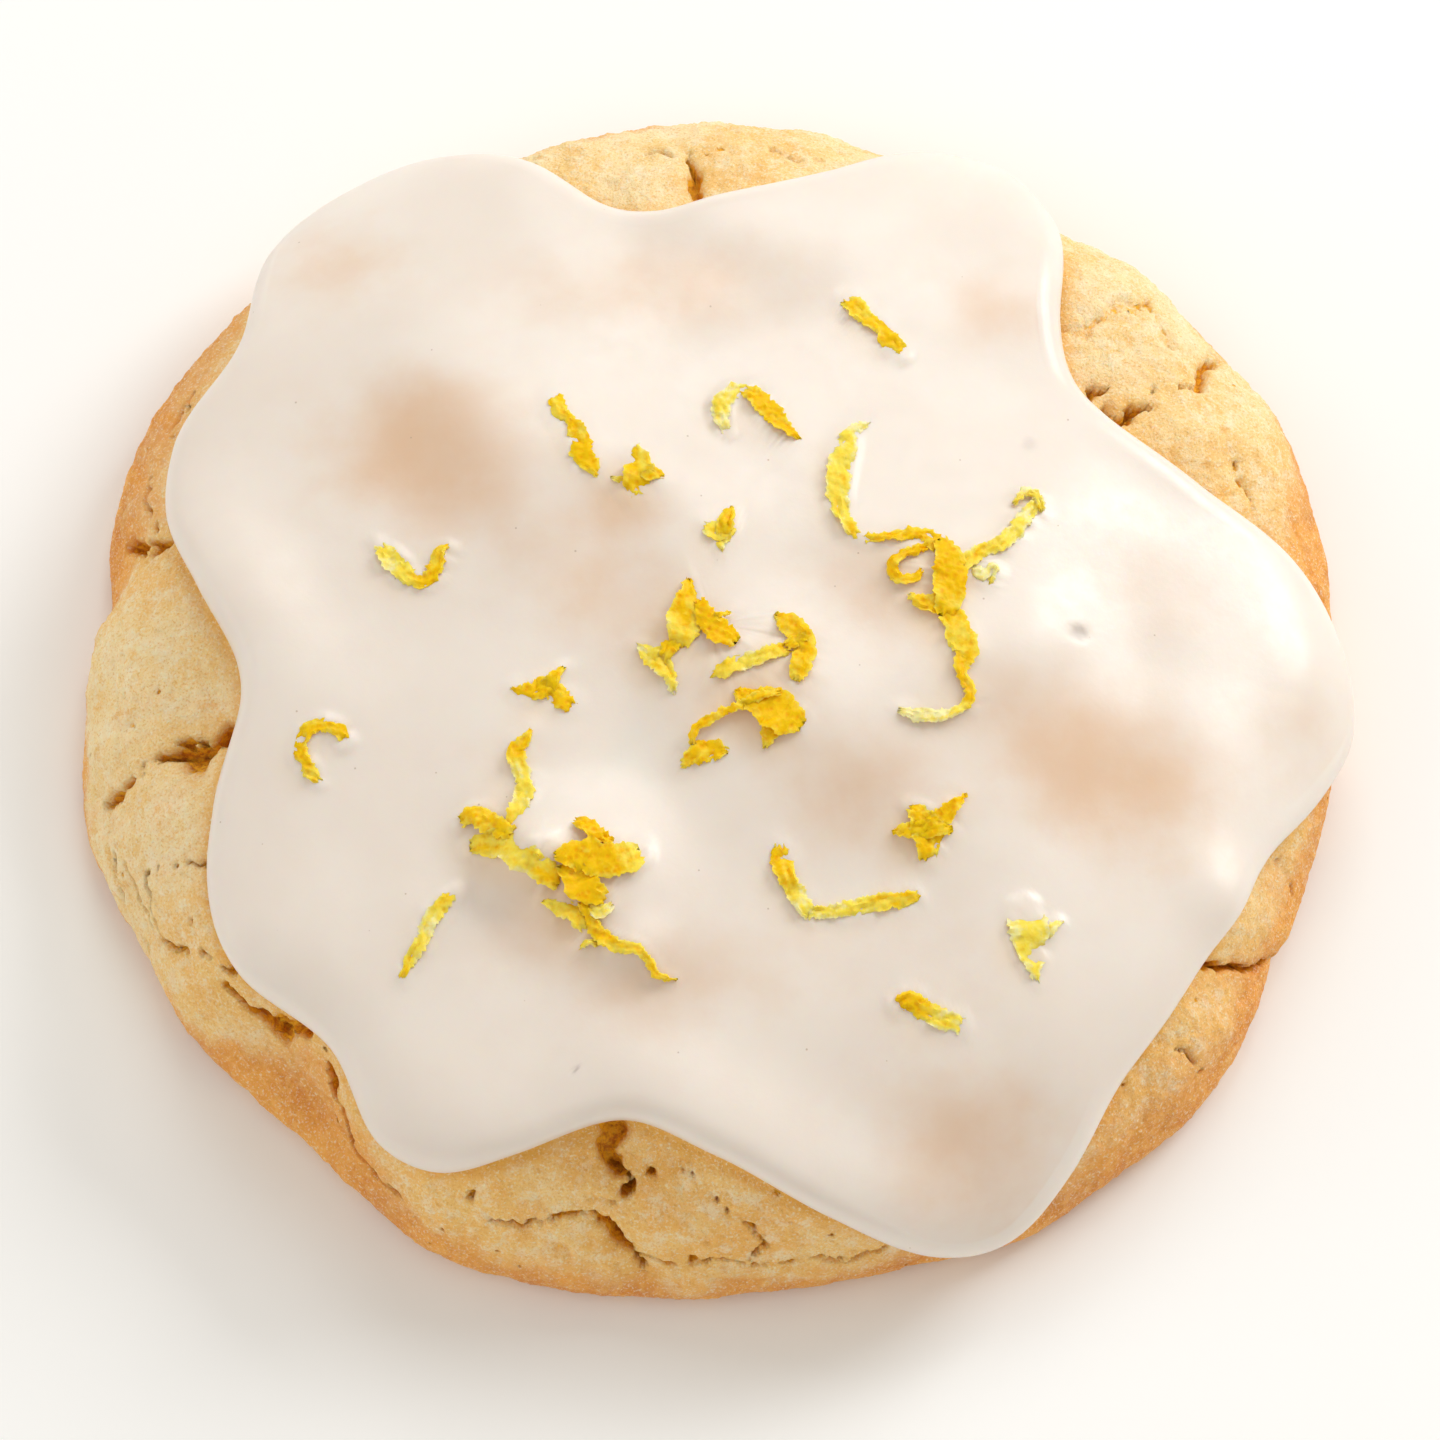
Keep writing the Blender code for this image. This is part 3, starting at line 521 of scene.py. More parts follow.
def scramble(cells, seed):
    """A well mixed whole number for each cell of a lattice."""
    x, y, z = np.moveaxis(cells.astype(np.int64).astype(np.uint32), -1, 0)
    mixed = x * 73856093 ^ y * 19349663 ^ z * 83492791 ^ (seed * 2654435 + 97) % 2**32
    mixed = (mixed ^ mixed >> 15) * 2246822519
    mixed = (mixed ^ mixed >> 13) * 3266489917
    return mixed ^ mixed >> 16


def three_shares(mixed):
    """Three numbers from 0 to 1 out of each mixed number."""
    return np.stack([(mixed >> shift & 1023) / 1023.0 for shift in (0, 10, 20)], axis=-1)


def noise_at(points, size, seed=0):
    """Smooth noise of about -1 to 1, with lumps of this size."""
    spots = points / size
    cells = np.floor(spots)
    inner = spots - cells
    ease = inner**3 * (inner * (inner * 6 - 15) + 10)
    total = np.zeros(len(points))
    for corner in np.ndindex(2, 2, 2):
        slopes = three_shares(scramble(cells + corner, seed)) * 2 - 1
        weight = np.prod(np.where(corner, ease, 1 - ease), axis=1)
        total += weight * (slopes * (inner - corner)).sum(axis=1)
    return 1.5 * total


def fractal_at(points, size, seed, octaves, gain=0.5):
    total = np.zeros(len(points))
    for octave in range(octaves):
        total += gain**octave * noise_at(points, size / 2.07**octave, seed + 31 * octave)
    return total


def vector_noise_at(points, size, seed=0):
    return np.stack([noise_at(points, size, seed + 1000 * axis) for axis in (1, 2, 3)], axis=-1)


def cells_at(points, size, seed=0):
    """Distance to the nearest and the second nearest cell centre, and a number for the cell."""
    spots = points / size
    cells = np.floor(spots)
    near = np.full(len(points), 9.0)
    following = np.full(len(points), 9.0)
    tag = np.zeros(len(points))
    for corner in np.ndindex(3, 3, 3):
        cell = cells + corner - 1
        mixed = scramble(cell, seed)
        away = length_of(cell + three_shares(mixed) - spots)
        closer = away < near
        following = np.where(closer, near, np.minimum(following, away))
        tag = np.where(closer, (mixed & 255) / 255.0, tag)
        near = np.minimum(near, away)
    return near, following, tag


def fissure_fields(points):
    """At points of the plain dome: how deep the fissures go, and how far their edges sag."""
    ragged = points
    for reach, size, seed in FISSURE_RAGS:
        ragged = ragged + reach * vector_noise_at(points, size, seed)
    depth = np.zeros(len(points))
    sag = np.zeros(len(points))
    for deepest, *route in FISSURES:
        deepest = deepest / TABLE_UNIT
        rows = np.reshape(route, (-1, 3))
        stops = [(on_crumb((x, y)), width / 2 / PIXELS_PER_METRE) for x, y, width in rows]
        for (start, start_half), (end, end_half) in zip(stops, stops[1:]):
            run = end - start
            near = np.abs(ragged - (start + end) / 2).max(axis=1) < length_of(run) + 2.2 * VALLEY_REACH
            spots = ragged[near]
            share = np.clip((spots - start) @ run / (run @ run), 0, 1)
            away = length_of(spots - start - share[:, None] * run)
            half = start_half + (end_half - start_half) * share + 0.00004
            cut = deepest * (1 - smooth(away / half, 0.55, 1.2))
            depth[near] = np.maximum(depth[near], cut)
            wide = 0.24 * np.exp(-((away / VALLEY_REACH) ** 2))
            narrow = 0.17 * np.exp(-np.maximum(away - half, 0) / 0.0008)
            slump = min(deepest, DEEPEST_VALLEY) * (narrow + wide)
            sag[near] = np.maximum(sag[near], slump)
    for pixel, radius, deepest in PITS:
        away = TABLE_UNIT * length_of(ragged - on_crumb(pixel))
        depth = np.maximum(depth, deepest / TABLE_UNIT * (1 - smooth(away / radius, 0.3, 1.3)))
    return depth * (0.85 + 0.3 * noise_at(points, 0.0007, 8)), sag


def crumb_relief(turn, fall, edge):
    """The crust's points with their relief, the painted shade in its fissures, pores and seams, and how far
    it sags, which paints shade in the valleys too.
    """
    plain = dome(turn, fall)
    fissures, sag = fissure_fields(plain)
    warped = plain + 0.0012 * vector_noise_at(plain, 0.0040, 9)
    near, following, tag = cells_at(warped, 0.0064, 10)
    seam = (1 - smooth(following - near, 0.0, 0.07)) * smooth(noise_at(plain, 0.007, 11), -0.05, 0.3)
    pore_near, _, pore_tag = cells_at(plain, 0.0016, 12)
    pores = (1 - smooth(pore_near, 0.04, 0.13)) * (pore_tag > 0.70)
    billows = noise_at(plain, 0.0046, 13) + 0.35 * noise_at(plain, 0.0020, 14)
    low = smooth(fall, math.radians(58), math.radians(80))
    crags = fractal_at(plain * (1, 1, 0.45), 0.0016, 15, 3)
    sand = fractal_at(plain, 0.00062, 16, 3, 0.7)
    relief = (
        BILLOW_RISE * billows
        + PLATE_STEP * (tag - 0.5)
        - SEAM_DEPTH * seam
        - PORE_DEPTH * pores
        + CRAG_RISE * (0.6 + 1.6 * low) * crags
        + SAND_RISE * sand
        - CRUST_SINK
    )
    clear = smooth(fall - edge, 0, math.radians(2.2))
    side = 1 - 0.55 * smooth(fall, math.radians(80), math.radians(90))
    push = (relief * side - sag - fissures * side) * clear
    points = surface(turn, fall) + dome_normal(turn, fall) * push[:, None]
    # Painted shade: the fissures, pores and seams are darkened by their depth
    dark = np.clip(fissures / 0.0011 + 0.2 * seam + 0.9 * pores, 0, 1) * clear
    # The share of sag is also used to paint shade in the valleys by the fissures
    return points, dark, np.clip(sag / 0.0008, 0, 1) * clear


def bake_share(turn, points):
    """How browned the crust is: most low down on the rim, and least on the puffed lobes."""
    rise = BAKED_HEIGHT
    for angle, spread, more in BAKE_RISES:
        rise = rise + more / TABLE_UNIT * bump_round(turn, angle, spread)
    uneven = 0.0010 * fractal_at(points, 0.004, 17, 3)
    return 1 - smooth(points[:, 2] + uneven, 0.15 * rise, 1.3 * rise)


def toast_share(turn, points):
    """How toasted the top of the crust is, and how much painted shade darkens its front, which depends
    mostly on the turn.
    """
    toast = np.max([amount * bump_round(turn, angle, spread) for angle, spread, amount in TOASTED], axis=0)
    return np.clip(toast + 0.16 * fractal_at(points, 0.005, 24, 3), 0, 1)


def quads_between(first, second, count):
    """Faces between two rings of the same number of points, by the rings' first indices."""
    here = np.arange(count)
    after = (here + 1) % count
    return np.stack([first + here, first + after, second + after, second + here], axis=1)


def triangles_between(inner, inner_count, outer, outer_count):
    """Faces between two rings, where the outer one has a whole number of times the points."""
    step = outer_count // inner_count
    middle = (step + 1) // 2
    faces = []
    for i in range(inner_count):
        first, second = inner + i, inner + (i + 1) % inner_count
        run = [outer + (i * step + k) % outer_count for k in range(step + 1)]
        for k in range(step):
            faces.append((first if k < middle else second, run[k], run[k + 1]))
        faces.append((first, run[middle], second))
    return faces


class Rings:
    """Rings of points round the dome's axis, with numbers for each ring's points, by name."""

    def __init__(self, *names):
        self.points = []
        self.values = {name: [] for name in names}

    def add(self, points, **given):
        self.points.append(points)
        for name, numbers in self.values.items():
            numbers.append(np.zeros(len(points)) + given.get(name, 0.0))


def solid_of_rings(name, rings, first_height, last_height, material):
    """A closed piece over the rings, from a point of the axis at the first height to one at the last."""
    points = np.concatenate([[(0, 0, first_height)], *rings.points, [(0, 0, last_height)]])
    start = 1
    count = len(rings.points[0])
    faces = [(0, start + (i + 1) % count, start + i) for i in range(count)]
    for ring, following in zip(rings.points, rings.points[1:]):
        next_start = start + len(ring)
        if len(ring) == len(following):
            faces += quads_between(start, next_start, len(ring)).tolist()
        elif len(ring) < len(following):
            faces += triangles_between(start, len(ring), next_start, len(following))
        else:
            faces += triangles_between(next_start, len(following), start, len(ring))
        start = next_start
    count = len(rings.points[-1])
    last = len(points) - 1
    faces += [(last, start + i, start + (i + 1) % count) for i in range(count)]
    values = {key: np.concatenate([[0.0], *numbers, [0.0]]) for key, numbers in rings.values.items()}
    return make_piece(name, points, faces, values, material)


def link_new(name, data):
    made = bpy.data.objects.new(name, data)
    bpy.context.scene.collection.objects.link(made)
    return made


def make_piece(name, points, faces, values, material):
    """A piece of the scene. Its points are measured from the dome's axis. values holds numbers for them."""
    mesh = bpy.data.meshes.new(name)
    mesh.from_pydata((points - BOX_MIDDLE).tolist(), [], faces)
    shape = bmesh.new()
    shape.from_mesh(mesh)
    bmesh.ops.recalc_face_normals(shape, faces=shape.faces)
    shape.to_mesh(mesh)
    shape.free()
    mesh.shade_smooth()
    for value_name, numbers in values.items():
        attribute = mesh.attributes.new(value_name, "FLOAT", "POINT")
        attribute.data.foreach_set("value", numbers.astype(np.float32))
    mesh.materials.append(material)
    return link_new(name, mesh)


def make_crumb(material):
    rings = Rings("dark", "sag", "bake", "hug", "toast")
    for count, share in ((55, 0.25), (275, 0.6), (CRUMB_RING, 0.85), (CRUMB_RING, 0.96)):
        rings.add(surface(*towards_crown(count, share, foot_of_icing)))
    turn = np.tile(ring_turns(CRUMB_RING), CRUMB_ROWS + 1)
    share = np.repeat(np.arange(CRUMB_ROWS + 1) / CRUMB_ROWS, CRUMB_RING)
    foot_turn, foot_fall = foot_of_icing(turn)
    fall = foot_fall - START_UNDER + (math.pi / 2 - foot_fall + START_UNDER) * share
    row_turn = foot_turn + (turn - foot_turn) * share
    points, dark, sag = crumb_relief(row_turn, fall, foot_fall)
    away = from_icing_edge(dome(row_turn, fall))
    values = {
        "dark": dark,
        "sag": sag,
        "bake": bake_share(row_turn, points),
        # Painted shadow: a darker amber band on the crust just below the icing's edge, where the edge shades
        # it
        "hug": np.exp(-((away / 0.0011) ** 2)),
        "toast": toast_share(row_turn, points),
    }
    for row in range(CRUMB_ROWS + 1):
        part = slice(row * CRUMB_RING, (row + 1) * CRUMB_RING)
        rings.add(points[part], **{name: numbers[part] for name, numbers in values.items()})
    widest = rings.points[-1]
    for angle in np.radians(BASE_ROUNDING):
        ring = widest * (1 - BASE_INSET / COOKIE_RADIUS * (1 - math.cos(angle)))
        ring[:, 2] = widest[:, 2] * (1 - math.sin(angle))
        ring[:, :2] *= 1 + 0.0020 * fractal_at(ring, 0.0012, 18, 3)[:, None]
        rings.add(ring, dark=rings.values["dark"][-1] * 0.8, bake=1.0, toast=1.0)
    rim = rings.points[-1]
    for count, reach in BASE_RINGS:
        ring = rim[:: CRUMB_RING // count] * reach
        ring[:, 2] = 0.00015 * np.clip(fractal_at(ring, 0.004, 19, 3), 0, 2)
        rings.add(ring, dark=np.clip(ring[:, 2] / 0.0003, 0, 0.6), bake=1.0, toast=1.0)
    return solid_of_rings("crumb_crust", rings, height_at_crown(), 0, material)


def nearest(points, others):
    """For each point, how far the nearest of the others is, and which it is."""
    away, which = [], []
    for start in range(0, len(points), 4000):
        gaps = points[start : start + 4000, None, :] - others[None, :, :]
        squares = (gaps**2).sum(axis=2)
        which.append(squares.argmin(axis=1))
        away.append(np.sqrt(squares.min(axis=1)))
    return np.concatenate(away), np.concatenate(which)


def curve_through(stops, step):
    """Rows along a smooth curve through the stops, about a step apart. The first columns are x and y."""
    stops = np.array(stops)
    padded = np.concatenate([[2 * stops[0] - stops[1]], stops, [2 * stops[-1] - stops[-2]]])
    rows = []
    for before, start, end, after in zip(padded, padded[1:], padded[2:], padded[3:]):
        count = max(3, int(length_of((end - start)[:2]) / step))
        t = np.arange(count)[:, None] / count
        rows.append(cubic_between(t, start, end, (end - before) / 2, (after - start) / 2))
    return np.concatenate([*rows, [stops[-1]]])


def shred_curves():
    """For each shred, its level over the icing, and rows of x, y, width and paleness along it."""
    curves = []
    for level, *route in ZEST:
        rows = np.reshape(route, (-1, 4))
        stops = [(*on_icing((x, y)), width / PIXELS_PER_METRE, pale / 10) for x, y, width, pale in rows]
        curves.append((level / 1000, curve_through(stops, ZEST_STEP)))
    return curves


def from_icing_edge(points):
    """How far each point of the plain dome is from the icing's edge."""
    turn = ring_turns(ICING_RING)
    return nearest(points, dome(turn, icing_edge(turn)))[0]


def icing_lift(turn, fall):
    """How far the icing's top stands over the dome's surface."""
    plain = dome(turn, fall)
    inset = np.maximum(from_icing_edge(plain) - EDGE_ROLL, 0)
    lift = ICING_GAP + ICING_THICKNESS + BEAD_RISE * np.exp(-((inset / BEAD_REACH) ** 2))
    return lift + smooth(inset, 0, 0.0030) * 0.00004 * fractal_at(plain, 0.0065, 21, 2)


def icing_marks(turn, fall, curves):
    """On the icing: how it climbs at the shreds and dips at bubbles, its thin share with painted shade, its
    zest stain with painted shadow, and its grey share.
    """
    plain = dome(turn, fall)
    ragged = plain + 0.0010 * vector_noise_at(plain, 0.0050, 23)
    shreds = np.concatenate([curve[::3, :3] for _, curve in curves])
    away, which = nearest(plain[:, :2], shreds[:, :2])
    gap = np.maximum(away - shreds[which, 2] / 2, 0)
    climb = 0.00013 * np.exp(-((gap / 0.00032) ** 2)) * (1 + noise_at(plain, 0.0009, 22))
    warm = np.zeros(len(plain))
    for x, y, width in shreds:
        # Painted shadow and stain: a warm tint round each shred, shifted towards -x and -y, the side away
        # from the key light
        squares = (plain[:, 0] - x + 0.0007) ** 2 + (plain[:, 1] - y + 0.0007) ** 2
        warm += width / 0.001 * np.exp(-squares / 0.0017**2)
    thin = np.zeros(len(plain))
    for pixel, x_radius, y_radius, strength in THIN_PATCHES:
        x, y = on_icing(pixel)
        squares = ((ragged[:, 0] - x) / x_radius) ** 2 + ((ragged[:, 1] - y) / y_radius) ** 2
        # Partly painted shade: some patches tan the shaded sides of the swells
        thin += strength * np.exp(-squares * TABLE_UNIT**2)
    grey = np.zeros(len(plain))
    for pixel, radius, deepest, strength in BUBBLES:
        squares = ((plain[:, :2] - on_icing(pixel)) ** 2).sum(axis=1)
        dip = np.exp(-((squares * (TABLE_UNIT / radius) ** 2) ** 2))
        climb -= deepest / TABLE_UNIT * dip
        grey += strength * dip
    return climb, np.clip(thin, 0, 1), 1 - np.exp(-0.045 * warm), grey


def make_icing(material, curves):
    turn = ring_turns(ICING_RING)
    edge = icing_edge(turn)
    rings = Rings("thin", "warm", "grey", "rim")
    for count, share in ((45, 0.3), (180, 0.6), (ICING_RING, 0.85), (ICING_RING, 1.0)):
        rings.add(surface(*towards_crown(count, share, foot_of_icing), -ICING_SINK), rim=1.0)
    top = ICING_THICKNESS + BEAD_RISE
    for row in range(ROLL_ROWS + 1):
        inset, height = edge_roll(-EDGE_TUCK + (math.pi / 2 + EDGE_TUCK) * row / ROLL_ROWS)
        lift = height / top * (ICING_GAP + top + ICING_SINK) - ICING_SINK
        rings.add(surface(*step_inwards(turn, edge, inset), lift), rim=1 - height / top)
    counts = [ICING_RING if row < 0.74 * ICING_ROWS else 180 for row in range(1, ICING_ROWS)]
    shares = [(1 - row / ICING_ROWS) ** 0.9 for row in range(1, ICING_ROWS)]
    places = [towards_crown(count, share, end_of_roll) for count, share in zip(counts, shares)]
    row_turn, fall = np.concatenate(places, axis=1)
    climb, thin, warm, grey = icing_marks(row_turn, fall, curves)
    points = surface(row_turn, fall, icing_lift(row_turn, fall) + climb - 0.00012 * thin)
    start = 0
    for count in counts:
        part = slice(start, start + count)
        rings.add(points[part], thin=thin[part], warm=warm[part], grey=grey[part])
        start += count
    over = rings.points[-1][:, 2].mean()
    return solid_of_rings("poured_icing", rings, height_at_crown() - ICING_SINK, over, material)


def make_zest(material, curves):
    """All the shreds as one piece: thin torn strips that curl, lean and wrinkle."""
    points, faces, tones = [], [], []
    across = np.linspace(-1, 1, ZEST_COLUMNS)
    ring = 2 * ZEST_COLUMNS
    start = 0
    for index, (level, curve) in enumerate(curves):
        x, y, width, pale = curve.T
        turn = np.arctan2(y, x)
        fall = fall_of_share(np.hypot(x, y) / rim_radius(turn, 0.0))
        count = len(curve)
        travelled = np.concatenate([[0], np.cumsum(length_of(np.diff(curve[:, :2], axis=0)))])
        ends = np.minimum(travelled, travelled[-1] - travelled)
        row = np.full(count, 10.0 * index)

        def along(size, lane, seed):
            spots = np.stack([travelled / size, row, np.full(count, float(lane))], axis=1)
            return noise_at(spots, 1.0, seed)

        rise = level + ZEST_ARCH * (0.5 + along(0.0014, 0, 30)) * smooth(ends, 0, 0.0006) + ZEST_GAP
        base = surface(turn, fall, icing_lift(turn, fall) + rise)
        normal = dome_normal(turn, fall)
        ahead = unit(np.gradient(base, axis=0))
        side = unit(np.cross(normal, ahead))
        lean = 0.55 * along(0.0017, 1, 31) + 0.12 * math.sin(index * 2.4)
        flat = side * np.cos(lean)[:, None] + normal * np.sin(lean)[:, None]
        over = unit(np.cross(ahead, flat))
        curl = 0.10 + 0.45 * along(0.0020, 2, 32)
        halves = []
        for lane in (3, 4):
            torn = 0.7 * along(0.00055, lane, 33) + 1.0 * along(0.00021, lane, 34)
            halves.append(width / 2 * (1 + 0.22 * along(0.0010, lane, 35)) + ZEST_RAGGED * torn)
        left, right = halves
        lines, shades = [], []
        for sign, order in ((1, across), (-1, across[::-1])):
            for a in order:
                half = right if a > 0 else left
                reach = np.maximum(half, ZEST_HALF_LEAST) * a
                spots = np.stack([travelled / 0.00050, row, reach / 0.00026], axis=1)
                finer = spots * (2.3, 1, 2.3)
                wrinkle = 0.00016 * noise_at(spots, 1.0, 36) + 0.00008 * noise_at(finer, 1.0, 37)
                thick = ZEST_THICKNESS / 2 * (1 - 0.65 * a**4) * (0.25 + 0.75 * smooth(ends, 0, 0.0003))
                bend = curl * (a**2 - 0.4) * half + wrinkle + sign * thick
                jag = 0.00013 * math.sin(9.1 * a + index * 1.7) * np.exp(-ends / 0.00025)
                lines.append(base + flat * reach[:, None] + over * bend[:, None] + ahead * jag[:, None])
                blotch = 0.40 * noise_at(spots * (0.45, 1, 0.6), 1.0, 38)
                shades.append(np.clip(pale + 0.30 * smooth(abs(a), 0.6, 1.0) + blotch, 0, 1))
        points.append(np.array(lines).transpose(1, 0, 2).reshape(-1, 3))
        tones.append(np.array(shades).T.reshape(-1))
        for k in range(count - 1):
            faces += quads_between(start + k * ring, start + (k + 1) * ring, ring).tolist()
        faces.append(tuple(start + j for j in reversed(range(ring))))
        faces.append(tuple(start + (count - 1) * ring + j for j in range(ring)))
        start += count * ring
    values = {"pale": np.concatenate(tones)}
    made = make_piece("zest_shreds", np.concatenate(points), faces, values, material)
    made.data.set_sharp_from_angle(angle=ZEST_SHARP_ANGLE)
    return made


class Nodes:
    """A small helper that adds and links nodes of one material."""

    def __init__(self, name):
        self.material = bpy.data.materials.new(name)
        self.material.use_nodes = True
        self.tree = self.material.node_tree
        self.place = self.add("ShaderNodeTexCoord").outputs["Object"]

    def feed(self, socket, source):
        """Gives a socket a link, a colour or a number."""
        if isinstance(source, bpy.types.NodeSocket):
            self.tree.links.new(source, socket)
        elif socket.type == "RGBA":
            socket.default_value = (*source, 1)
        else:
            socket.default_value = source

    def add(self, kind, inputs=None, **settings):
        node = self.tree.nodes.new(kind)
        for key, value in settings.items():
            setattr(node, key, value)
        for key, source in (inputs or {}).items():
            self.feed(node.inputs[key], source)
        return node

    def finished(self, **inputs):
        """The material, once its shader's inputs are set."""
        shader = self.tree.nodes["Principled BSDF"]
        for key, source in inputs.items():
            self.feed(shader.inputs[key.replace("_", " ")], source)
        return self.material

    def value(self, name):
        return self.add("ShaderNodeAttribute", attribute_name=name).outputs["Fac"]

    def noise(self, scale, detail, roughness):
        inputs = {"Vector": self.place, "Scale": scale, "Detail": detail, "Roughness": roughness}
        return self.add("ShaderNodeTexNoise", inputs).outputs["Fac"]

    def cells(self, scale):
        return self.add("ShaderNodeTexVoronoi", {"Vector": self.place, "Scale": scale}).outputs["Distance"]

    def span(self, source, low, high, start=0.0, end=1.0):
        inputs = {"Value": source, "From Min": low, "From Max": high, "To Min": start, "To Max": end}
        return self.add("ShaderNodeMapRange", inputs, interpolation_type="SMOOTHSTEP").outputs["Result"]

    def math(self, operation, first, second):
        return self.add("ShaderNodeMath", {0: first, 1: second}, operation=operation).outputs[0]

    def mix(self, factor, first, second):
        return self.add("ShaderNodeMix", {0: factor, 6: first, 7: second}, data_type="RGBA").outputs[2]

    def layers(self, tone, rows):
        """A tone with colours laid over it. Each has a source, its low and high, and how much at most."""
        for source, low, high, most, colour in rows:
            tone = self.mix(self.span(source, low, high, 0, most), tone, colour)
        return tone

    def bump(self, height, distance, strength, before=None):
        inputs = {"Height": height, "Distance": distance, "Strength": strength}
        if before is not None:
            inputs["Normal"] = before
        return self.add("ShaderNodeBump", inputs).outputs["Normal"]


def crumb_material():
    n = Nodes("baked_crumb")
    mottle = n.noise(300, 5, 0.6)
    speckle = n.noise(2100, 4, 0.7)
    grain = n.noise(6200, 3, 0.6)
    golden = n.mix(n.span(mottle, 0.34, 0.64), (0.96, 0.66, 0.27), (1.0, 0.81, 0.47))
    # Toasting and painted shade: these colours are laid on most at the shaded front
    toasted = n.mix(n.span(mottle, 0.34, 0.64), (0.95, 0.50, 0.115), (1.0, 0.66, 0.22))
    marks = (
        (n.noise(900, 5, 0.7), 0.46, 0.66, 0.55, (1.0, 0.90, 0.66)),
        (n.noise(620, 5, 0.7), 0.54, 0.70, 0.6, (0.90, 0.49, 0.11)),
        # Painted shadow under the icing's edge
        (n.value("hug"), 0.0, 1.1, 0.8, (0.80, 0.40, 0.045)),
        # Painted shade in the valleys that sag towards the fissures
        (n.value("sag"), 0.1, 0.9, 0.4, (0.88, 0.50, 0.10)),
    )
    tone = n.layers(n.mix(n.value("toast"), golden, toasted), marks)
    brown = n.mix(n.span(mottle, 0.3, 0.7), (0.70, 0.22, 0.030), (0.93, 0.43, 0.085))
    brown = n.layers(brown, [(speckle, 0.46, 0.64, 0.45, (1.0, 0.58, 0.18))])
    bake = n.math("ADD", n.value("bake"), n.span(mottle, 0.3, 0.7, -0.28, 0.34))
    # Grain tone, and painted glints where the grains turn pale
    grains = ((grain, 0.53, 0.68, 0.55, (1.0, 0.92, 0.70)), (grain, 0.45, 0.34, 0.55, (0.80, 0.42, 0.09)))
    tone = n.layers(n.mix(n.span(bake, 0.05, 0.9), tone, brown), grains)
    # Painted shade: the fissures, pores and seams turn a dark amber by their depth
    dark = n.math("ADD", n.value("dark"), n.span(speckle, 0.3, 0.7, -0.16, 0.16))
    lip = n.span(dark, 0.22, 0.52)
    deep = n.mix(n.span(speckle, 0.38, 0.60), (0.58, 0.19, 0.002), (0.95, 0.48, 0.010))
    tone = n.mix(n.math("MULTIPLY", lip, 0.95), tone, deep)
    fine = n.bump(grain, 0.00014, 0.7)
    fine = n.bump(n.math("SUBTRACT", 1.0, lip), 0.00040, 0.6, fine)
    return n.finished(
        Base_Color=tone,
        Roughness=n.span(grain, 0.45, 0.7, 0.70, 0.34),
        Normal=n.bump(speckle, 0.00030, 0.6, fine),
        Subsurface_Weight=0.2,
        Subsurface_Scale=0.0010,
        Subsurface_Radius=(1.0, 0.5, 0.15),
        Specular_IOR_Level=0.30,
    )


def icing_material():
    n = Nodes("lemon_icing")
    white = n.mix(n.span(n.noise(140, 4, 0.5), 0.3, 0.7), (0.825, 0.75, 0.675), (0.85, 0.785, 0.715))
    thin = n.math("ADD", n.value("thin"), n.span(n.noise(330, 4, 0.55), 0.3, 0.7, -0.10, 0.10))
    marks = (
        # Thin icing's tan, with painted shade on the swells' shaded sides
        (thin, 0.0, 1.15, 0.9, (0.745, 0.51, 0.33)),
        # Painted shadow of the shreds, with their stain
        (n.value("warm"), 0.05, 1.1, 0.75, (0.82, 0.56, 0.28)),
        (n.value("rim"), 0.2, 1.0, 0.7, (0.80, 0.56, 0.34)),
        (n.value("grey"), 0.0, 1.0, 0.55, (0.42, 0.36, 0.32)),
        (n.cells(420), 0.034, 0.020, 0.55, (0.42, 0.30, 0.20)),
    )
    return n.finished(
        Base_Color=n.layers(white, marks),
        Roughness=n.span(n.noise(900, 3, 0.5), 0.3, 0.7, 0.30, 0.40),
        Normal=n.bump(n.noise(3000, 2, 0.5), 0.000012, 0.5),
        Subsurface_Weight=0.35,
        Subsurface_Scale=0.0011,
        Subsurface_Radius=(1.0, 0.6, 0.3),
        Specular_IOR_Level=0.6,
    )


def zest_material():
    n = Nodes("lemon_zest")
    glands = n.cells(2300)
    tone = n.math("ADD", n.value("pale"), n.span(n.noise(2100, 3, 0.6), 0.3, 0.7, -0.16, 0.14))
    skin = n.mix(n.span(glands, 0.05, 0.55), (0.93, 0.43, 0.0), (1.0, 0.57, 0.002))
    pith = ((tone, 0.05, 0.6, 1.0, (1.0, 0.74, 0.085)), (tone, 0.55, 1.1, 1.0, (0.98, 0.88, 0.46)))
    return n.finished(
        Base_Color=n.layers(skin, pith),
        Roughness=0.38,
        Normal=n.bump(glands, 0.00010, 0.6),
        Subsurface_Weight=0.4,
        Subsurface_Scale=0.0007,
        Subsurface_Radius=(1.0, 0.6, 0.05),
        Specular_IOR_Level=0.12,
    )


def floor_material():
    n = Nodes("pale_floor")
    white = n.mix(n.noise(3, 2, 0.5), (0.97, 0.99, 1.0), (0.98, 1.0, 1.0))
    return n.finished(Base_Color=white, Roughness=0.9, Specular_IOR_Level=0.1)


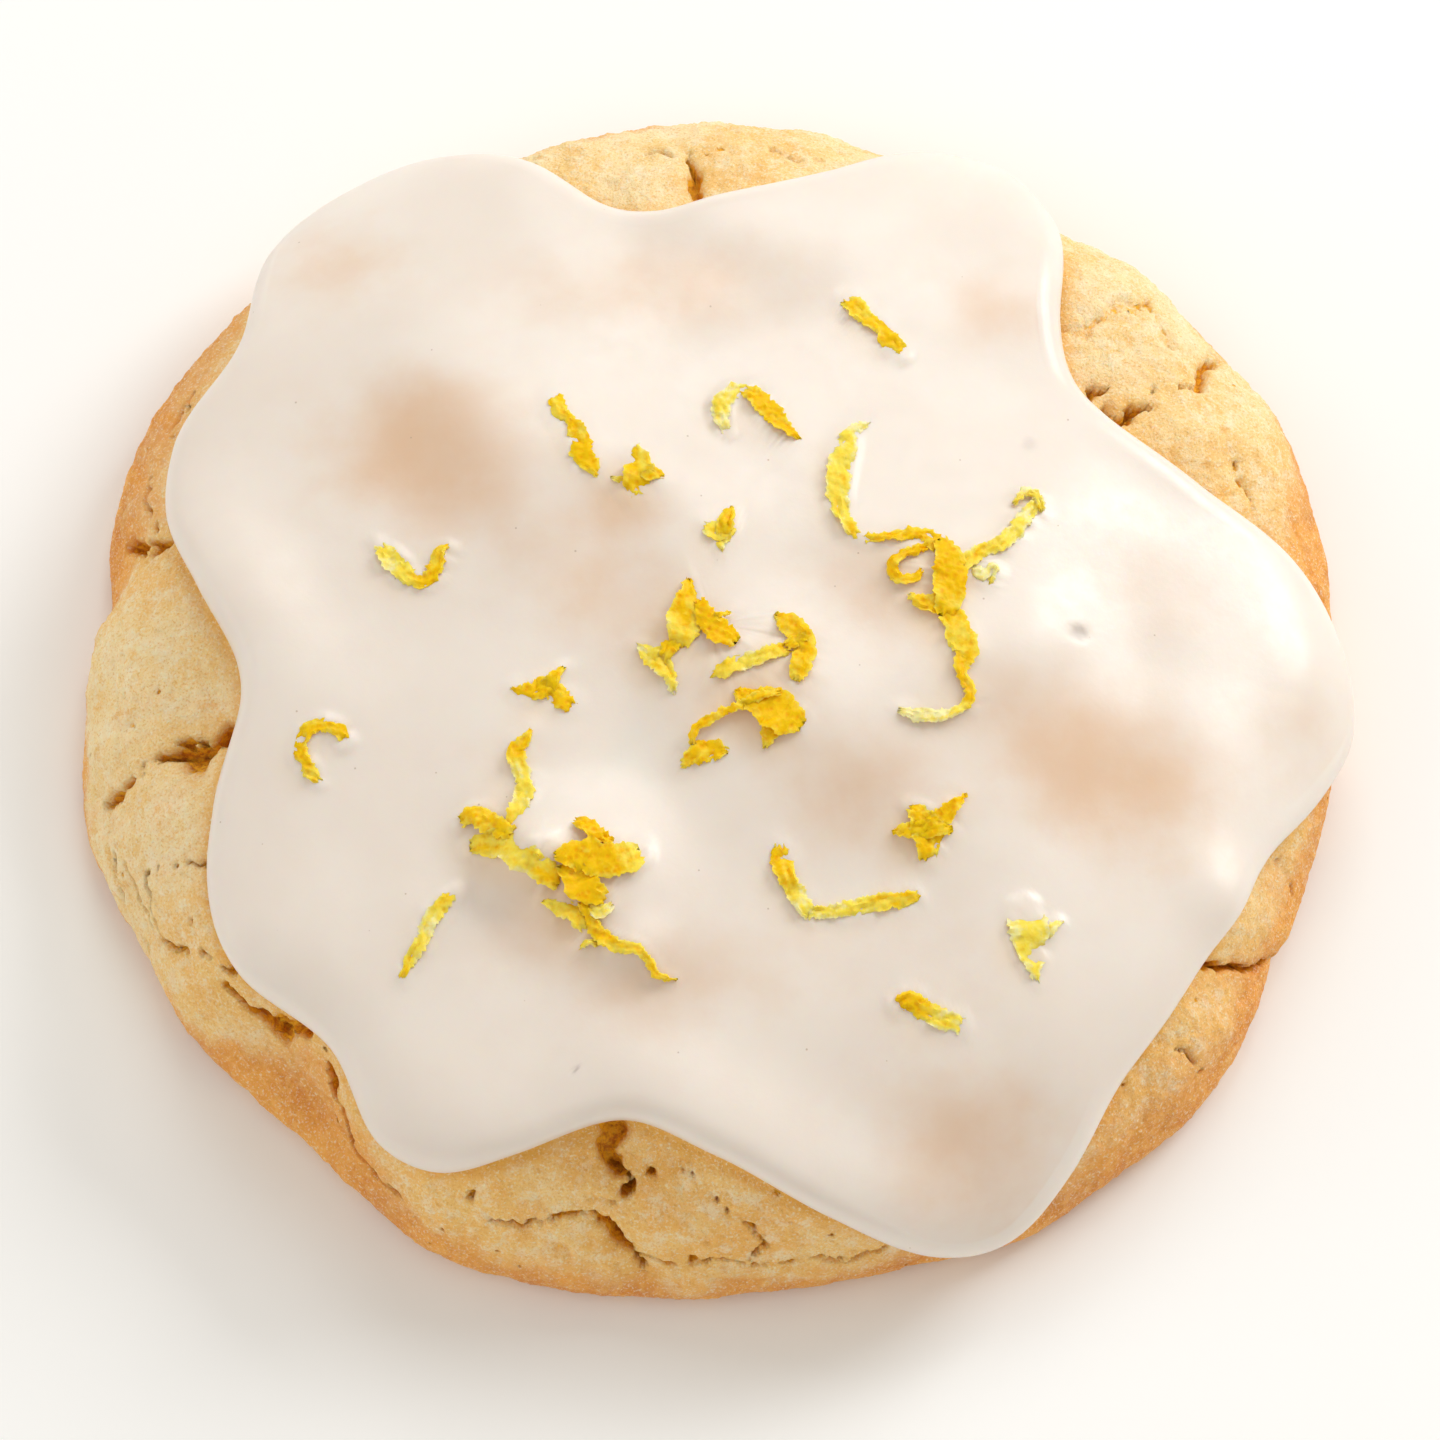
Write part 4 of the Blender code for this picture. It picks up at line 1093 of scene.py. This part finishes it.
def make_floor():
    signs = ((-1, -1), (1, -1), (1, 1), (-1, 1))
    corners = [(x * FLOOR_HALF, y * FLOOR_HALF, FLOOR_HEIGHT) for x, y in signs]
    mesh = bpy.data.meshes.new("floor")
    mesh.from_pydata(corners, [], [(0, 1, 2, 3)])
    mesh.materials.append(floor_material())
    return link_new("floor", mesh)


def area_light(name, azimuth, elevation, distance, size, watts):
    a, e = math.radians(azimuth), math.radians(elevation)
    data = bpy.data.lights.new(name, "AREA")
    data.shape = "SQUARE"
    data.size = size
    data.energy = watts
    light = link_new(name, data)
    light.location = Vector((math.cos(a) * math.cos(e), math.sin(a) * math.cos(e), math.sin(e))) * distance
    light.rotation_euler = (-light.location).to_track_quat("-Z", "Y").to_euler()


def make_lights():
    for light in LIGHTS:
        area_light(*light)
    world = bpy.data.worlds.new("studio")
    world.use_nodes = True
    background = world.node_tree.nodes["Background"]
    background.inputs["Color"].default_value = STUDIO_COLOUR
    background.inputs["Strength"].default_value = STUDIO_STRENGTH
    bpy.context.scene.world = world
    bpy.context.scene.view_settings.view_transform = "Standard"


def make_camera():
    data = bpy.data.cameras.new("camera")
    data.sensor_width = SENSOR_MM
    data.lens = SENSOR_MM * VIEW_DISTANCE * PIXELS_PER_METRE / IMAGE_SIDE
    camera = link_new("camera", data)
    back = Vector((0, -math.cos(VIEW_ELEVATION), math.sin(VIEW_ELEVATION)))
    up = Vector((0, math.sin(VIEW_ELEVATION), math.cos(VIEW_ELEVATION)))
    right = (IMAGE_SIDE / 2 - VIEW_ORIGIN_PIXEL[0]) / PIXELS_PER_METRE
    raised = (VIEW_ORIGIN_PIXEL[1] - IMAGE_SIDE / 2) / PIXELS_PER_METRE
    target = Vector((right, 0, VIEW_TARGET_HEIGHT)) + up * raised - Vector(BOX_MIDDLE)
    camera.location = target + back * VIEW_DISTANCE
    camera.rotation_euler = (-back).to_track_quat("-Z", "Y").to_euler()
    bpy.context.scene.camera = camera


make_camera()
make_lights()
floor = make_floor()

curves = shred_curves()
crust = make_crumb(crumb_material())
icing = make_icing(icing_material(), curves)
zest = make_zest(zest_material(), curves)
for piece, slot_name in ((crust, "crumb"), (icing, "icing"), (zest, "icing")):
    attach(piece, "root")
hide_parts("cookie")
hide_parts("icing")
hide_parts("icing")
